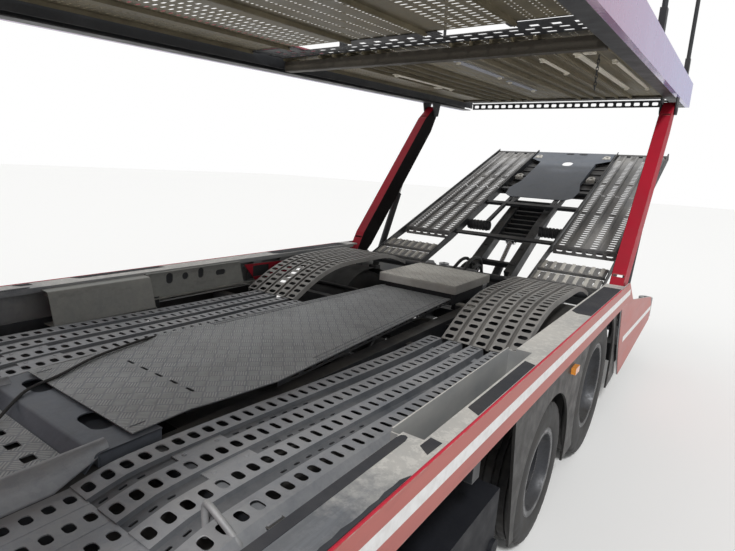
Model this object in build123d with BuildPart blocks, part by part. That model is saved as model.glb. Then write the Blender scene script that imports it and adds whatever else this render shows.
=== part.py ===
"""Three-axle car transporter truck with an open lower deck, a hinged rear ramp and a lifting upper deck.

Millimetres. X is across the truck (+X its left side), -Y is forwards, +Z is up.
The origin is on the ground, in the middle of the truck's length and width.
"""

import os
from math import atan2, cos, degrees, hypot, radians, sin

from build123d import *

os.makedirs("parts", exist_ok=True)

# Driving sizes
half_width = 1275
front_end_y = -5400
front_axle_y = -4000
pusher_axle_y = 420
drive_axle_y = 1510
fit_gap = 0.3
door_gap = 6
hinge_pin_r = 7
hinge_play = 0.08

# Tyres: radius, width, rim radius
big_tyre_r = 463
big_tyre_w = 285
big_rim_r = 286
small_tyre_r = 358
small_tyre_w = 205
small_rim_r = 222
tyre_face_x = half_width - 40
front_wheel_x = half_width - 225
twin_gap = 42

# Chassis ladder
rail_web_x = 430
rail_flange = 80
rail_wall = 10
rail_bottom_z = 610
rail_top_z = 860
rail_front_y = -5150
rail_rear_y = 2150
cross_member_ys = (-5080, -3480, -2250, -900, 0, 930, 2060)
cross_member_w = 90
outrigger_w = 60
outrigger_bottom_z = 750

# Lower deck
band_top_z = 1060
band_bottom_z = 900
band_front_y = -3120
band_rear_y = 2222
channel_rear_y = 1990
band_wall = 12
shelf_width = 138
rail_c_x = half_width - 60
rail_c_bottom_z = 850
walkway_top_z = 920
walkway_wall = 5
walkway_rear_y = 1230
walkway_front_y = -1190
walkway_front_half = 365
walkway_fold_half = 412
walkway_rear_half = 292
walkway_fold_y = -600
skirt_x = (half_width - 38, half_width - 26)
track_front_x = 392
track_inner_x = 470
track_outer_x = 968
track_strips = 4
front_strips = 5
strip_gap = 12
strip_wall = 6
strip_flange = 28
track_front_z = 905
track_rear_z = 862
hump_top_z = 1068
hump_inner_x = 520
hump_outer_x = 988
hump_strips = 5
slot_length = 48
slot_width = 22
slot_pitch = 55
hump_slot_width = 27
tie_clear = 30

# Upper deck, sloping up to the rear
deck_slope = 2.3
arm_angle = 48.6
arm_length = 2030
arm_spacing = 5050
arm_width = 96
arm_depth = 190
arm_wall = 8
arm_side_gap = 6
bracket_wall = 12
rear_arm_base = (2100, 930)
rear_arm_x = half_width - 80
front_arm_x = half_width - 220
pin_r = 28
deck_front = -6170
deck_rear = 960
panel_height = 280

# Rear ramp
ramp_pivot = (2150, 930)
ramp_slope = 21
ramp_length = 3454
ramp_beam = 45
ramp_beam_depth = 85
ramp_inner_x = 500
ramp_outer_x = 1075

# Lifting boom and cylinders
boom_base = (2400, 720)
boom_angle = 28.3
boom_length = 1646
boom_half = 235
deck_cylinder_base = (2470, 750)
deck_cylinder_eye = 1495
ramp_cylinder_base = (2500, 500)
ramp_cylinder_eye = 900

# Cab
cab_half = half_width - 55
cab_wall = 60
cab_floor_z = 1000
cab_rear_y = -3500
door_front_y = -5145
door_rear_y = -4165
door_bottom_z = 1066
door_top_z = 2430

# Mast behind the cab, carrying the head deck
mast_x = half_width - 85
mast_y = (-3400, -3240)
mast_top_z = 2640
head_pivot = (-3320, 2700)

kingpin_x = front_wheel_x - 120
ramp_tube_r = 35
boom_tube_r = 30

world = Plane.XY


def tilted(y, z, angle):
    """A frame at (0, y, z) whose Y axis rises by angle degrees."""
    a = radians(angle)
    return Plane(origin=(0, y, z), x_dir=(1, 0, 0), z_dir=(0, -sin(a), cos(a)))


def side_plane(frame, x):
    """The plane across X at x, with the frame's Y and Z as its own x and y."""
    return Plane(origin=frame.from_local_coords(Vector(x, 0, 0)), x_dir=frame.y_dir, z_dir=frame.x_dir)


def along(start, angle, distance):
    """The (y, z) point at a distance from start in a direction given in degrees above +Y."""
    return (start[0] + distance * cos(radians(angle)), start[1] + distance * sin(radians(angle)))


def block(frame, x, y, z, mode=Mode.ADD):
    """A box between two values on each of the frame's axes."""
    middle = frame.from_local_coords(Vector((x[0] + x[1]) / 2, (y[0] + y[1]) / 2, (z[0] + z[1]) / 2))
    with Locations(Plane(origin=middle, x_dir=frame.x_dir, z_dir=frame.z_dir)):
        Box(x[1] - x[0], y[1] - y[0], z[1] - z[0], mode=mode)


def side_plate(frame, points, x, mode=Mode.ADD):
    """A plate of the outline points (y, z), between two values of x."""
    with BuildSketch(side_plane(frame, x[0])) as outline:
        with BuildLine():
            Polyline(*points, close=True)
        make_face()
    extrude(outline.sketch, amount=x[1] - x[0], mode=mode)


def cross_bar(frame, centre, x, radius, mode=Mode.ADD):
    """A round bar along X at centre (y, z)."""
    with BuildSketch(side_plane(frame, x[0])) as outline:
        with Locations(centre):
            Circle(radius)
    extrude(outline.sketch, amount=x[1] - x[0], mode=mode)


def round_bar(start, end, radius, mode=Mode.ADD):
    """A round bar between two points."""
    direction = Vector(*end) - Vector(*start)
    with BuildSketch(Plane(origin=start, z_dir=direction)) as outline:
        Circle(radius)
    extrude(outline.sketch, amount=direction.length, mode=mode)


def column(centre, z, radius, mode=Mode.ADD):
    """A round upright bar at (x, y)."""
    with BuildSketch(Plane.XY.offset(z[0])) as outline:
        with Locations(centre):
            Circle(radius)
    extrude(outline.sketch, amount=z[1] - z[0], mode=mode)


def both(x):
    """The two mirrored ranges of x."""
    return (x, (-x[1], -x[0]))


def save(piece, name):
    piece.label = name
    export_step(piece, f"parts/{name}.step")


rear_arm = tilted(*rear_arm_base, arm_angle)
rear_arm_top = along(rear_arm_base, arm_angle, arm_length)
deck = tilted(*rear_arm_top, deck_slope)
front_arm_base = along(rear_arm_base, deck_slope, -arm_spacing)
front_arm = tilted(*front_arm_base, arm_angle)
ramp = tilted(*ramp_pivot, ramp_slope)
boom = tilted(*boom_base, boom_angle)


def arm_bracket(frame, x, outline):
    """Two plates beside an arm at x, with the pin between them, on both sides of the truck."""
    inner = (x - arm_width / 2 - arm_side_gap - bracket_wall, x - arm_width / 2 - arm_side_gap)
    outer = (x + arm_width / 2 + arm_side_gap, x + arm_width / 2 + arm_side_gap + bracket_wall)
    for span in both(inner) + both(outer):
        side_plate(frame, outline, span)
    for span in both((inner[0], outer[1])):
        cross_bar(frame, (0, 0), span, pin_r)


# Ladder frame with cross members, outriggers for the side rails and the lower brackets of the lifting arms
outriggers = (
    # y, top z under the wheel track, half length
    (-3080, 834, rail_c_x),
    (-2050, 834, rail_c_x),
    (-1150, 874, rail_c_x),
    (-450, 850, rail_c_x),
    (420, 834, rail_c_x),
    (930, 834, rail_c_x),
    (2060, 834, skirt_x[0] - 1),
)
with BuildPart() as chassis_frame:
    with BuildSketch(Plane.XZ.offset(-rail_front_y)):
        with BuildLine():
            Polyline(
                (rail_web_x, rail_bottom_z),
                (rail_web_x, rail_top_z),
                (rail_web_x - rail_flange, rail_top_z),
                (rail_web_x - rail_flange, rail_top_z - rail_wall),
                (rail_web_x - rail_wall, rail_top_z - rail_wall),
                (rail_web_x - rail_wall, rail_bottom_z + rail_wall),
                (rail_web_x - rail_flange, rail_bottom_z + rail_wall),
                (rail_web_x - rail_flange, rail_bottom_z),
                close=True,
            )
        make_face()
        mirror(about=Plane.YZ)
    extrude(amount=rail_front_y - rail_rear_y)
    for y in cross_member_ys:
        block(
            world,
            (rail_wall - rail_web_x, rail_web_x - rail_wall),
            (y - cross_member_w / 2, y + cross_member_w / 2),
            (rail_bottom_z + 60, rail_top_z - 60),
        )
    for y, top, reach in outriggers:
        for x in both((rail_web_x, reach)):
            block(world, x, (y - outrigger_w / 2, y + outrigger_w / 2), (outrigger_bottom_z, 834))
        if top > 834:
            for x in both((rail_web_x, track_outer_x + strip_gap)):
                block(world, x, (y - outrigger_w / 2, y + outrigger_w / 2), (834, top))
    # Rail brackets on the outriggers, up to the channel of each side rail
    for y, top, reach in outriggers[:-1]:
        for x in both((rail_c_x, rail_c_x + 10)):
            block(world, x, (y - outrigger_w / 2, y + outrigger_w / 2), (outrigger_bottom_z, rail_c_bottom_z))
    # Feet of the cab
    for y in (-5080, -3620):
        for x in both((350, 430)):
            block(world, x, (y - 40, y + 40), (rail_top_z, cab_floor_z))
    arm_bracket(rear_arm, rear_arm_x, ((-134, -70), (-134, -160), (0, -75), (52, -40), (52, 45), (-20, 62)))
    front_bracket = ((-60, 150), (-110, 60), (-60, -40), (0, -60), (45, -40), (45, 30), (0, 150))
    arm_bracket(front_arm, front_arm_x, front_bracket)
save(chassis_frame.part, "chassis_frame")

# Engine and gearbox as one plain block under the cab floor, on four mounts
engine_half = 300
with BuildPart() as engine:
    block(world, (-engine_half, engine_half), (-4900, -3900), (500, 985))
    block(world, (-200, 200), (-3900, -3560), (500, 780))
    for y in (-4700, -4000):
        for x in both((engine_half, rail_web_x - rail_wall)):
            block(world, x, (y - 50, y + 50), (640, 700))
save(engine.part, "engine")

# Side rails: red outer band, flat galvanised top shelf and an inward facing channel
shelf_inner_x = half_width - shelf_width
rail_profile = (
    (half_width, band_bottom_z),
    (half_width, band_top_z),
    (shelf_inner_x, band_top_z),
    (shelf_inner_x, band_top_z - 30),
    (shelf_inner_x + 6, band_top_z - 30),
    (shelf_inner_x + 6, band_top_z - 12),
    (rail_c_x, band_top_z - 12),
    (rail_c_x, rail_c_bottom_z + 8),
    (shelf_inner_x, rail_c_bottom_z + 8),
    (shelf_inner_x, rail_c_bottom_z),
    (rail_c_x + 10, rail_c_bottom_z),
    (rail_c_x + 10, band_top_z - 12),
    (half_width - band_wall, band_top_z - 12),
    (half_width - band_wall, band_bottom_z),
)
web_slot_ys = (-2300, -1650, 330, 550)
pocket_x = (half_width - 170, half_width - 70)
pocket_y = (-830, 110)
pocket_wall = 5
pocket_bottom_z = 884
lashing_ys = (-2800, -1990, -1330, 760, 1050)
with BuildPart() as side_rails:
    with BuildSketch(Plane.XZ.offset(-band_front_y)):
        with BuildLine():
            Polyline(*rail_profile, close=True)
        make_face()
    extrude(amount=band_front_y - channel_rear_y)
    band_x = (half_width - band_wall, half_width)
    block(world, band_x, (channel_rear_y, band_rear_y), (band_bottom_z, band_top_z))
    block(world, (shelf_inner_x, half_width), (channel_rear_y, 2050), (band_top_z - 12, band_top_z))
    for y in web_slot_ys:
        with BuildSketch(side_plane(world, rail_c_x - 5)):
            with Locations((y, 960)):
                SlotOverall(95, 55, rotation=90)
        extrude(amount=20, mode=Mode.SUBTRACT)
    # Room over the drive tyres
    room_x = (shelf_inner_x - 5, half_width - band_wall)
    block(world, room_x, (1190, 1830), (840, 945), mode=Mode.SUBTRACT)
    # Lashing brackets with a notched lower edge, hung from the shelf
    for y in lashing_ys:
        outline = (
            (y - 45, band_top_z - 12),
            (y - 45, band_top_z - 105),
            (y - 18, band_top_z - 105),
            (y - 18, band_top_z - 70),
            (y + 18, band_top_z - 70),
            (y + 18, band_top_z - 105),
            (y + 45, band_top_z - 105),
            (y + 45, band_top_z - 12),
        )
        side_plate(world, outline, (shelf_inner_x + 14, shelf_inner_x + 20))
    mirror(about=Plane.YZ)
    # Open pocket for lashing gear, let into the shelf and walled on three sides, on the left
    block(world, (pocket_x[0], pocket_x[1]), pocket_y, (band_top_z - 31, band_top_z + 1), mode=Mode.SUBTRACT)
    block(world, (pocket_x[0] - pocket_wall, pocket_x[0]), pocket_y, (pocket_bottom_z, band_top_z))
    for y in ((pocket_y[0] - pocket_wall, pocket_y[0]), (pocket_y[1], pocket_y[1] + pocket_wall)):
        block(world, (pocket_x[0] - pocket_wall, rail_c_x), y, (pocket_bottom_z, band_top_z - 12))
save(side_rails.part, "side_rails")

# Red panels behind the drive wheels, with a folded lower lip
with BuildPart() as rear_side_panels:
    outline = (
        (2012, band_bottom_z),
        (band_rear_y, band_bottom_z),
        (band_rear_y, band_top_z),
        (2530, 880),
        (3950, 660),
        (4085, 560),
        (4085, 390),
        (2330, 300),
        (2150, 560),
    )
    side_plate(world, outline, (half_width - band_wall, half_width))
    mirror(about=Plane.YZ)
save(rear_side_panels.part, "rear_side_panels")

# Dark wheel skirts with an arch over each rear wheel
bottom_fold_z = 888
pusher_arch_r = 405
drive_arch_r = 530
with BuildPart() as wheel_skirts:
    outline = ((-140, 850), (-140, 898), (2008, 898), (2146, 562), (2318, 312), (2200, 290), (-20, 220))
    side_plate(world, outline, skirt_x)
    for y, z, radius in (
        (pusher_axle_y, small_tyre_r, pusher_arch_r),
        (drive_axle_y, big_tyre_r, drive_arch_r),
    ):
        cross_bar(world, (y, z), (skirt_x[0] - 5, skirt_x[1] + 5), radius, mode=Mode.SUBTRACT)
    block(world, (rail_c_x + 10, skirt_x[0]), (-140, 930), (870, 898))
    block(world, (skirt_x[1], half_width - band_wall), (-140, 1950), (bottom_fold_z, 898))
    mirror(about=Plane.YZ)
save(wheel_skirts.part, "wheel_skirts")


def strips(inner, outer, count):
    """The (inner, outer) x of count equal strips between two values of x, with gaps between them."""
    pitch = (outer + strip_gap - inner) / count
    return [(inner + k * pitch, inner + (k + 1) * pitch - strip_gap) for k in range(count)]


def strip_piece(frame, outline, front, rear):
    """A piece with a side outline (y, z) whose two values of x change from the front to the rear end."""
    if front == rear:
        side_plate(frame, outline, front)
        return
    ys = [y for y, z in outline]
    lowest = min(z for y, z in outline) - 1
    with BuildPart(mode=Mode.PRIVATE) as form:
        side_plate(frame, outline, (min(front[0], rear[0]), max(front[1], rear[1])))
        with BuildSketch(frame.offset(lowest)) as plan:
            with BuildLine():
                corners = [(x, min(ys)) for x in front] + [(x, max(ys)) for x in reversed(rear)]
                Polyline(*corners, close=True)
            make_face()
        extrude(plan.sketch, amount=400, mode=Mode.INTERSECT)
    add(form.part)


def strip_run(frame, points, front, rear=None, floor=None):
    """Pressed wheel track: folded strips side by side that follow the side line points (y, z).

    front and rear are the strips' values of x at both ends, and floor lists the lowest z at each point."""
    lows = floor or [z - strip_flange for y, z in points]
    under = [(y, z - strip_wall) for y, z in reversed(points)]
    skirt = [(y, low) for (y, z), low in zip(reversed(points), reversed(lows))]
    for (x0, x1), (x2, x3) in zip(front, rear or front):
        strip_piece(frame, list(points) + under, (x0, x1), (x2, x3))
        strip_piece(frame, list(points) + skirt, (x0, x0 + strip_wall), (x2, x2 + strip_wall))
        strip_piece(frame, list(points) + skirt, (x1 - strip_wall, x1), (x3 - strip_wall, x3))


def slot_rows(points, front, rear, slot, keep=()):
    """Rows of slots (across, along) through the tops of the strips, with none near the ys in keep."""
    first, last = points[0][0], points[-1][0]
    for start, end in zip(points, points[1:]):
        length = hypot(end[0] - start[0], end[1] - start[1])
        angle = degrees(atan2(end[1] - start[1], end[0] - start[0]))
        rows = int(length / slot_pitch)
        spots = []
        for distance in [(k + 0.5) * length / rows for k in range(rows)]:
            y = along(start, angle, distance)[0]
            if all(abs(y - tie) > tie_clear for tie in keep):
                share = (y - first) / (last - first)
                for a, b in zip(front, rear):
                    spots.append(((sum(a) * (1 - share) + sum(b) * share) / 2, distance))
        with BuildSketch(tilted(*start, angle).offset(1)) as cuts:
            with Locations(spots):
                Rectangle(*slot)
        extrude(cuts.sketch, amount=-strip_wall - 2, mode=Mode.SUBTRACT)


def tie_bar(frame, y, z, x, depth=40):
    """Flat bar across the underside of a track, joining its strips."""
    block(frame, x, (y - 25, y + 25), (z - depth, z - strip_wall))


# Lower wheel tracks: the run before the drive axle fans out towards its nose, which is bent down,
# and ahead of it lie a flat run and a plate between two folded covers of the chassis rails
front_track_line = ((-3110, 862), (-1412, 862))
track_line = (
    (-1400, rail_top_z + 7),
    (-1250, track_front_z - 3),
    (-1150, track_front_z),
    (-450, 880.5),
    (-150, track_rear_z + 8),
    (560, track_rear_z),
)
# The strips' flanges stay above the chassis rails where they cross them
flange_zs = [max(z - strip_flange, rail_top_z + 1) if y <= -450 else z - strip_flange for y, z in track_line]
track_ties = ((-1150, 904), (-450, 880), (420, 864))
rail_cover = (
    (300, 866),
    (300, 872),
    (322, 910),
    (340, 930),
    (354, 930),
    (366, 915),
    (374, rail_top_z),
    (369, rail_top_z),
    (361, 912),
    (352, 925),
    (342, 925),
    (326, 906),
    (305, 866),
)
centre_plate_y = (-3110, -1350)
with BuildPart() as lower_tracks:
    nose = strips(track_front_x, track_outer_x, track_strips)
    heel = strips(track_inner_x, track_outer_x, track_strips)
    strip_run(world, track_line, nose, heel, flange_zs)
    slot_rows(track_line, nose, heel, (slot_length, slot_width), [y for y, z in track_ties])
    for y, z in track_ties:
        share = (y - track_line[0][0]) / (track_line[-1][0] - track_line[0][0])
        inner = track_front_x + (track_inner_x - track_front_x) * share + 2
        tie_bar(world, y, z, (inner, track_outer_x), 30)
    strip_run(world, front_track_line, strips(track_inner_x - 35, track_outer_x, front_strips))
    for y in (-3080, -2050):
        tie_bar(world, y, 862, (track_inner_x - 35, track_outer_x - 2), 28)
    with BuildSketch(Plane.XZ.offset(-centre_plate_y[0])):
        with BuildLine():
            Polyline(*rail_cover, close=True)
        make_face()
    extrude(amount=centre_plate_y[0] - centre_plate_y[1])
    mirror(about=Plane.YZ)
    block(world, (-300, 300), centre_plate_y, (866, 872))
save(lower_tracks.part, "lower_tracks")

# Humps of the wheel tracks over the drive wheels
hump_line = (
    (600, track_rear_z + 2),
    (780, 985),
    (980, 1048),
    (1180, hump_top_z),
    (1760, hump_top_z),
    (2040, 975),
)
hump_cheek = (
    (620, 800),
    (620, 838),
    (780, 956),
    (980, 1019),
    (1180, 1039),
    (1760, 1039),
    (2036, 946),
    (2036, 860),
    (1750, 985),
    (1190, 985),
    (980, 965),
    (800, 905),
    (680, 800),
)
with BuildPart() as track_humps:
    rows = strips(hump_inner_x, hump_outer_x, hump_strips)
    strip_run(world, hump_line, rows)
    slot_rows(hump_line, rows, rows, (slot_length, hump_slot_width), (1180, 1760))
    for y, z in ((1180, hump_top_z), (1760, hump_top_z)):
        tie_bar(world, y, z, (hump_inner_x, hump_outer_x))
    for x in ((hump_inner_x - 10, hump_inner_x), (hump_outer_x, hump_outer_x + 10)):
        side_plate(world, hump_cheek, x)
    for x in ((hump_inner_x - 10, hump_inner_x + 30), (hump_outer_x - 30, hump_outer_x + 10)):
        block(world, x, (910, 950), (834, 1005))
        block(world, x, (2000, 2030), (810, 940))
    mirror(about=Plane.YZ)
save(track_humps.part, "track_humps")

# Walkway plate with turned down edges, on three stools over the ladder frame
with BuildPart() as walkway:
    outline = (
        (walkway_front_half, walkway_front_y),
        (walkway_front_half, walkway_fold_y - 150),
        (walkway_fold_half, walkway_fold_y),
        (walkway_rear_half, walkway_rear_y),
    )
    with BuildSketch(Plane.XY.offset(walkway_top_z - walkway_wall)):
        with BuildLine():
            Polyline(*outline, *[(-x, y) for x, y in reversed(outline)], close=True)
        make_face()
    extrude(amount=walkway_wall)
    # The edge behind the fold line is turned down as far as the chassis rails allow
    edge = ((walkway_fold_half, walkway_fold_y), (walkway_rear_half, walkway_rear_y))
    with BuildSketch(Plane.XY.offset(rail_top_z + 6)):
        with BuildLine():
            Polyline(*edge, *[(x - walkway_wall, y) for x, y in reversed(edge)], close=True)
        make_face()
        mirror(about=Plane.YZ)
    extrude(amount=walkway_top_z - rail_top_z - 6)
    for y in (-900, 0, 930):
        block(world, (-280, 280), (y - 30, y + 30), (rail_top_z - 60, walkway_top_z - walkway_wall))
save(walkway.part, "walkway")

# Folded covers of the lower deck: cross beam with two oval drain holes, step box and valve cover
beam_outline = ((-1345, rail_top_z), (-1305, 908), (-1090, 908), (-1070, rail_top_z))
with BuildPart() as deck_covers:
    side_plate(world, beam_outline, (10 - track_front_x, track_front_x - 10))
    for x in (-220, 190):
        with BuildSketch(Plane.XY.offset(850)):
            with Locations((x, -1200)):
                SlotOverall(150, 80)
        extrude(amount=100, mode=Mode.SUBTRACT)
    # Folded step box behind the walkway
    block(world, (-320, 320), (walkway_rear_y, 1860), (rail_top_z, 1015))
    block(world, (-312, 312), (walkway_rear_y + 8, 1852), (rail_top_z - 2, 1007), mode=Mode.SUBTRACT)
    for x in both((300, 420)):
        block(world, x, (1300, 1360), (rail_top_z, 872))
    # Galvanised cover over the valve block, inside the right side rail
    cover = (
        (-shelf_inner_x, 1046),
        (77 - shelf_inner_x, 1046),
        (127 - shelf_inner_x, 862),
        (121 - shelf_inner_x, 862),
        (73 - shelf_inner_x, 1040),
        (-shelf_inner_x, 1040),
    )
    with BuildSketch(Plane.XZ.offset(100)):
        with BuildLine():
            Polyline(*cover, close=True)
        make_face()
    extrude(amount=600)
    block(world, (1 - rail_c_x, 125 - shelf_inner_x), (-700, -100), (858, 862))
save(deck_covers.part, "deck_covers")

# Low tail behind the drive axle: side beams, cross beams, cylinder and boom brackets, towing jaw
tail_z = (420, 560)
tail_beam_x = (half_width - 125, half_width - 25)
jaw_bore_r = 25
with BuildPart() as tail_frame:
    for x in both(tail_beam_x):
        block(world, x, (2260, 4070), tail_z)
    for x in both((rail_web_x - 80, rail_web_x)):
        block(world, x, (2320, 4070), tail_z)
        outline = (
            (2020, 610),
            (2150, 420),
            (2330, 420),
            (2330, 560),
            (2250, 700),
            (2225, 960),
            (2080, 960),
            (2080, 860),
            (2150, 860),
            (2150, 610),
        )
        side_plate(world, outline, x)
        cross_bar(world, ramp_pivot, (x[0] - 1, x[1] + 1), ramp_tube_r + fit_gap, mode=Mode.SUBTRACT)
    for y in (2310, 2410, 3150, 4010):
        block(world, (-tail_beam_x[0], tail_beam_x[0]), (y - 40, y + 40), (tail_z[0] + 20, tail_z[1] - 20))
    block(world, (-half_width + 65, half_width - 65), (4070, 4086), (400, 580))
    block(world, (-70, 70), (3970, 4180), (400, 580))
    block(world, (-71, 71), (4050, 4181), (460, 520), mode=Mode.SUBTRACT)
    column((0, 4125), (390, 590), jaw_bore_r, mode=Mode.SUBTRACT)
    # Boom brackets
    for x in both((150, 190)):
        side_plate(world, ((2270, 440), (2620, 440), (2600, 560), (2450, 775), (2350, 775)), x)
        cross_bar(world, boom_base, (x[0] - 1, x[1] + 1), boom_tube_r + fit_gap, mode=Mode.SUBTRACT)
    # Foot of the ramp cylinder
    y, z = ramp_cylinder_base
    for x in both((58, 74)):
        block(world, x, (y - 60, y + 45), (z - 50, z + 40))
    cross_bar(world, ramp_cylinder_base, (-74, 74), 20)
    # Feet of the deck cylinders
    y, z = deck_cylinder_base
    for x in both((rear_arm_x - 43, rear_arm_x - 35)) + both((rear_arm_x + 35, rear_arm_x + 45)):
        side_plate(world, ((y - 60, 560), (y + 60, 560), (y + 40, z + 38), (y - 40, z + 38)), x)
    for x in both((rear_arm_x - 43, rear_arm_x + 45)):
        cross_bar(world, deck_cylinder_base, x, 20)
save(tail_frame.part, "tail_frame")

# Galvanised rollers at the rear corners
roller_x = half_width - 68
with BuildPart() as corner_rollers:
    for x in (-roller_x, roller_x):
        column((x, 4155), (410, 610), 67)
        block(world, (x - 30, x + 30), (4086, 4155), (470, 540))
        column((x, 4155), (400, 620), 18)
save(corner_rollers.part, "corner_rollers")

# Tanks and battery box hung from the ladder frame
tank_outer_x = half_width - 40
with BuildPart() as fuel_tanks:
    for x, y in (((640, tank_outer_x), (-2150, -1160)), ((-tank_outer_x, -640), (-2850, -420))):
        middle = ((x[0] + x[1]) / 2, (y[0] + y[1]) / 2)
        with Locations((middle[0], middle[1], 515)):
            tank = Box(x[1] - x[0], y[1] - y[0], 370)
        fillet(tank.edges().filter_by(Axis.Y), 70)
        inner = (rail_web_x, 660) if x[0] > 0 else (-660, -rail_web_x)
        for end in (y[0] + 150, y[1] - 150):
            block(world, inner, (end - 30, end + 30), (620, 690))
    for centre in ((900, -1320), (-900, -700)):
        column(centre, (690, 722), 45)
save(fuel_tanks.part, "fuel_tanks")

with BuildPart() as battery_box:
    block(world, (640, tank_outer_x), (-1100, -195), (240, 595))
    block(world, (rail_web_x, 660), (-1000, -940), (560, 690))
    block(world, (rail_web_x, 660), (-360, -300), (560, 690))
    round_bar((tank_outer_x, -225, 345), (tank_outer_x + 15, -225, 345), 38)
save(battery_box.part, "battery_box")


def axle_seats(y, top_z, bottom_z):
    """Seats between an axle and the ladder frame."""
    for x in both((360, 440)):
        block(world, x, (y - 75, y + 75), (bottom_z, top_z))


# Drive axle with its propeller shaft, pusher axle and front axle beam
knuckle_eye_z = (385, 475)
with BuildPart() as axles:
    cross_bar(world, (drive_axle_y, big_tyre_r), (-620, 620), 68)
    # Differential housing, turned about the axle
    housing = ((-200, 0), (-200, 95), (-120, 165), (-40, 185), (40, 185), (120, 165), (200, 95), (200, 0))
    across = Plane(origin=(0, drive_axle_y, big_tyre_r), x_dir=(1, 0, 0), z_dir=(0, -1, 0))
    with BuildSketch(across) as section:
        with BuildLine():
            Polyline(*housing, close=True)
        make_face()
    revolve(section.sketch, axis=Axis((0, drive_axle_y, big_tyre_r), (1, 0, 0)))
    axle_seats(drive_axle_y, rail_bottom_z, 480)
    round_bar((0, -3550, 570), (0, drive_axle_y - 150, big_tyre_r), 45)
    cross_bar(world, (pusher_axle_y, small_tyre_r), (-760, 760), 55)
    axle_seats(pusher_axle_y, rail_bottom_z, 370)
    block(world, (40 - kingpin_x, kingpin_x - 40), (front_axle_y - 45, front_axle_y + 45), (395, 465))
    for x in (-kingpin_x, kingpin_x):
        column((x, front_axle_y), knuckle_eye_z, 48)
        bore_z = (knuckle_eye_z[0] - 1, knuckle_eye_z[1] + 1)
        column((x, front_axle_y), bore_z, 22 + fit_gap, mode=Mode.SUBTRACT)
    axle_seats(front_axle_y, rail_bottom_z, 465)
save(axles.part, "axles")

flange_x = (kingpin_x + 55, kingpin_x + 75)
for side, name in ((1, "left"), (-1, "right")):
    with BuildPart() as knuckle:
        column((side * kingpin_x, front_axle_y), (345, 515), 22)
        for z in ((345, 379), (481, 515)):
            column((side * kingpin_x, front_axle_y), z, 46)
            x = sorted((side * kingpin_x, side * flange_x[1]))
            block(world, x, (front_axle_y - 40, front_axle_y + 40), z)
        x = sorted((side * flange_x[0], side * flange_x[1]))
        block(world, x, (front_axle_y - 45, front_axle_y + 45), (345, 560))
        x = sorted((side * flange_x[1], side * (front_wheel_x + 75 - fit_gap)))
        cross_bar(world, (front_axle_y, big_tyre_r), x, 45)
    save(knuckle.part, f"knuckle_{name}")


def tyre(inner_x, width, radius, bore, centre, side):
    """A smooth tyre whose outer face is at inner_x + width, mirrored for side -1."""
    y, z = centre
    shoulder = 26
    points = (
        (inner_x + 12, bore),
        (inner_x, bore + 0.45 * (radius - bore)),
        (inner_x + shoulder, radius),
        (inner_x + width - shoulder, radius),
        (inner_x + width, bore + 0.45 * (radius - bore)),
        (inner_x + width - 12, bore),
    )
    with BuildSketch(Plane(origin=(0, y, z), x_dir=(1, 0, 0), z_dir=(0, -1, 0))) as outline:
        with BuildLine():
            Polyline(*[(side * x, r) for x, r in points], close=True)
        make_face()
    revolve(outline.sketch, axis=Axis((0, y, z), (1, 0, 0)))


def rim(points, centre, side):
    """A wheel turned about its axle from the outline points (x, radius)."""
    y, z = centre
    with BuildSketch(Plane(origin=(0, y, z), x_dir=(1, 0, 0), z_dir=(0, -1, 0))) as outline:
        with BuildLine():
            Polyline(*[(side * x, r) for x, r in points], close=True)
        make_face()
    revolve(outline.sketch, axis=Axis((0, y, z), (1, 0, 0)))


front_tyre_inner = front_wheel_x - big_tyre_w / 2
front_rim_outline = (
    (front_tyre_inner + 8, big_rim_r - fit_gap),
    (front_tyre_inner + 8, big_rim_r - 16),
    (front_wheel_x + 75, big_rim_r - 24),
    (front_wheel_x + 85, 105),
    (front_wheel_x + 75, 50),
    (front_wheel_x + 75, 0),
    (front_wheel_x + 155, 0),
    (front_wheel_x + 155, 62),
    (front_wheel_x + 140, 105),
    (front_wheel_x + 100, 112),
    (front_wheel_x + 92, big_rim_r - 24),
    (front_tyre_inner + big_tyre_w - 8, big_rim_r - 16),
    (front_tyre_inner + big_tyre_w - 8, big_rim_r - fit_gap),
)


def twin_wheel_outline(width, bore, hub_r, hub_inner):
    """Two rims back to back, with their discs meeting near the middle and a hub through them."""
    outer = tyre_face_x - 8
    gap_outer = tyre_face_x - width + 8
    gap_inner = tyre_face_x - width - twin_gap - 8
    inner = tyre_face_x - 2 * width - twin_gap + 8
    face = gap_outer + 60
    return (
        (outer, bore - fit_gap),
        (gap_outer, bore - fit_gap),
        (gap_outer, bore - 14),
        (gap_inner, bore - 14),
        (gap_inner, bore - fit_gap),
        (inner, bore - fit_gap),
        (inner, bore - 16),
        (face - 95, bore - 30),
        (face - 85, hub_r + 45),
        (face - 30, hub_r + 10),
        (hub_inner, hub_r),
        (hub_inner, 0),
        (face + 95, 0),
        (face + 95, hub_r * 0.7),
        (face + 15, hub_r),
        (face - 60, hub_r + 55),
        (face - 60, bore - 42),
        (gap_outer + 20, bore - 26),
        (outer, bore - 12),
    )


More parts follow.
